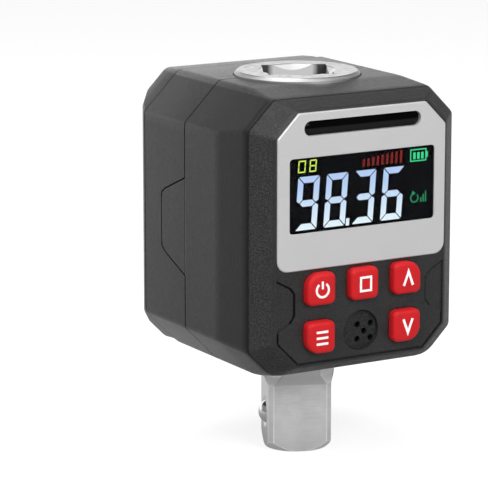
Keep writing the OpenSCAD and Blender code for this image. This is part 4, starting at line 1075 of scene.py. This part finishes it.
battery_right = BATTERY_LEFT + BATTERY_W
battery_top = ROW_LOW + BATTERY_H
nub_z = ROW_LOW + BATTERY_H / 2
parts = [lit_stroke([(BATTERY_LEFT, ROW_LOW), (BATTERY_LEFT, battery_top), (battery_right, battery_top),
                     (battery_right, ROW_LOW)], BATTERY_STROKE, closed=True),
         lit_stroke([(battery_right + NUB_START, nub_z), (battery_right + NUB_END, nub_z)], NUB_H)]
for i in range(CHARGE_COUNT):
    x = BATTERY_LEFT + CHARGE_LEFT + i * CHARGE_PITCH
    parts.append(lit_stroke([(x, ROW_LOW + CHARGE_BELOW), (x, battery_top - CHARGE_ABOVE)], CHARGE_W))
add_lit("display_battery", parts, "lit_green", GREEN, GREEN, ROW_FADE_LOW, ROW_FADE_HIGH)

parts = [lit_stroke(arc(TURN_X, TURN_Z, TURN_R, TURN_START, TURN_END), TURN_STROKE),
         lit_plate([(TURN_X + x, TURN_Z + z) for x, z in ARROW_HEAD])]
for i, tall in enumerate(STEP_HEIGHTS):
    x = STEP_LEFT + i * STEP_PITCH
    parts.append(lit_stroke([(x, STEP_LOW), (x, STEP_LOW + tall)], STEP_W))
add_lit("display_turn", parts, "lit_sea", SEA, SEA, TURN_FADE_LOW, TURN_FADE_HIGH)


# Floor, light and camera

def seen_directly(tree):
    """1 for rays straight from the camera or through glass, 0 for the rest."""
    paths = tree.nodes.new("ShaderNodeLightPath")
    seen = tree.nodes.new("ShaderNodeMath")
    seen.operation = "MAXIMUM"
    tree.links.new(paths.outputs["Is Camera Ray"], seen.inputs[0])
    tree.links.new(paths.outputs["Is Transmission Ray"], seen.inputs[1])
    return seen.outputs[0]


def scaled(tree, value, low, high, start, end):
    """value from low to high, turned into start to end, which may be sockets themselves."""
    node = tree.nodes.new("ShaderNodeMapRange")
    tree.links.new(value, node.inputs["Value"])
    for key, number in (("From Min", low), ("From Max", high), ("To Min", start), ("To Max", end)):
        if isinstance(number, bpy.types.NodeSocket):
            tree.links.new(number, node.inputs[key])
        else:
            node.inputs[key].default_value = number
    return node.outputs["Result"]


def place_axis(tree, space, axis):
    place = tree.nodes.new("ShaderNodeTexCoord")
    parts = tree.nodes.new("ShaderNodeSeparateXYZ")
    tree.links.new(place.outputs[space], parts.inputs[0])
    return parts.outputs[axis]


# The floor looks white. What it gives the object is brighter behind the object than in front
FLOOR_HALF = 6000
FLOOR_LEVEL, FLOOR_ROUGHNESS = 0.3, 0.9
FLOOR_GLOW_SEEN = 0.78
FLOOR_GLOW_FRONT, FLOOR_GLOW_NEAR, FLOOR_GLOW_BACK = 0.12, 0.42, 0.75
FLOOR_NEAR_START, FLOOR_NEAR_END = 0, 45
FLOOR_BACK_START, FLOOR_BACK_END = 130, 230


def floor_look():
    material = bpy.data.materials.new("floor_white")
    material.use_nodes = True
    tree = material.node_tree
    shader = tree.nodes["Principled BSDF"]
    shader.inputs["Base Color"].default_value = grey(FLOOR_LEVEL)
    shader.inputs["Roughness"].default_value = FLOOR_ROUGHNESS
    shader.inputs["Specular IOR Level"].default_value = 0.0
    shader.inputs["Emission Color"].default_value = grey(1.0)
    y = place_axis(tree, "Object", "Y")
    near = scaled(tree, y, FLOOR_NEAR_START * MM, FLOOR_NEAR_END * MM, FLOOR_GLOW_FRONT, FLOOR_GLOW_NEAR)
    given = scaled(tree, y, FLOOR_BACK_START * MM, FLOOR_BACK_END * MM, near, FLOOR_GLOW_BACK)
    glow = scaled(tree, seen_directly(tree), 0.0, 1.0, given, FLOOR_GLOW_SEEN)
    tree.links.new(glow, shader.inputs["Emission Strength"])
    return material


floor = new_object("floor", [(-FLOOR_HALF, -FLOOR_HALF, 0), (FLOOR_HALF, -FLOOR_HALF, 0),
                             (FLOOR_HALF, FLOOR_HALF, 0), (-FLOOR_HALF, FLOOR_HALF, 0)], [(0, 1, 2, 3)])
floor.data.materials.append(floor_look())

# The room looks white. What it gives the object is bright from behind, and darker from above and in front
ROOM_BACK, ROOM_FRONT = 1.6, 0.3
ROOM_TURN_FRONT, ROOM_TURN_BACK = 0.45, 0.9
ROOM_LOW, ROOM_HIGH = 0.22, 0.42
ROOM_TOP_SHARE = 0.2


def studio():
    """The white room round the object."""
    world = bpy.data.worlds.new("studio")
    bpy.context.scene.world = world
    world.use_nodes = True
    tree = world.node_tree
    tree.nodes.clear()
    room = tree.nodes.new("ShaderNodeBackground")
    back = scaled(tree, place_axis(tree, "Generated", "Z"), ROOM_LOW, ROOM_HIGH, ROOM_BACK,
                  ROOM_BACK * ROOM_TOP_SHARE)
    given = scaled(tree, place_axis(tree, "Generated", "Y"), ROOM_TURN_FRONT, ROOM_TURN_BACK, ROOM_FRONT,
                   back)
    tree.links.new(given, room.inputs["Strength"])
    white = tree.nodes.new("ShaderNodeBackground")
    for node in (room, white):
        node.inputs["Color"].default_value = grey(1.0)
    mix = tree.nodes.new("ShaderNodeMixShader")
    tree.links.new(seen_directly(tree), mix.inputs[0])
    tree.links.new(room.outputs[0], mix.inputs[1])
    tree.links.new(white.outputs[0], mix.inputs[2])
    out = tree.nodes.new("ShaderNodeOutputWorld")
    tree.links.new(mix.outputs[0], out.inputs["Surface"])


# Lamps, each as its place, its size and its power in watts, and the place that they all face
LAMP_TARGET = (0, 0, 45)
TOP_LAMP = ((-50, 100, 650), 450, 2.2)
LEFT_LAMP = ((-520, -300, 560), 450, 3.2)
FRONT_LAMP = ((80, -640, 420), 350, 3.7)


def area_light(name, place, size, watts):
    """A square lamp that faces the middle of the object."""
    data = bpy.data.lights.new(name, "AREA")
    data.size = size * MM
    data.energy = watts
    lamp = bpy.data.objects.new(name, data)
    bpy.context.scene.collection.objects.link(lamp)
    lamp.location = Vector(place) * MM
    way = Vector(LAMP_TARGET) - Vector(place)
    lamp.rotation_euler = way.to_track_quat("-Z", "Y").to_euler()


studio()
area_light("top_lamp", *TOP_LAMP)
area_light("left_lamp", *LEFT_LAMP)
area_light("front_lamp", *FRONT_LAMP)

camera_data = bpy.data.cameras.new("camera")
camera_data.sensor_width = SENSOR
camera_data.lens = FOCAL_PIXELS * SENSOR / PHOTO_SIZE
camera_data.clip_start = CLIP_START
camera_data.clip_end = CLIP_END
camera = bpy.data.objects.new("camera", camera_data)
camera.location = Vector(CAMERA_PLACE) * MM
camera.rotation_euler = (math.radians(CAMERA_PITCH), 0, math.radians(CAMERA_TURN))
bpy.context.scene.collection.objects.link(camera)
bpy.context.scene.camera = camera
bpy.context.scene.view_settings.view_transform = "Standard"
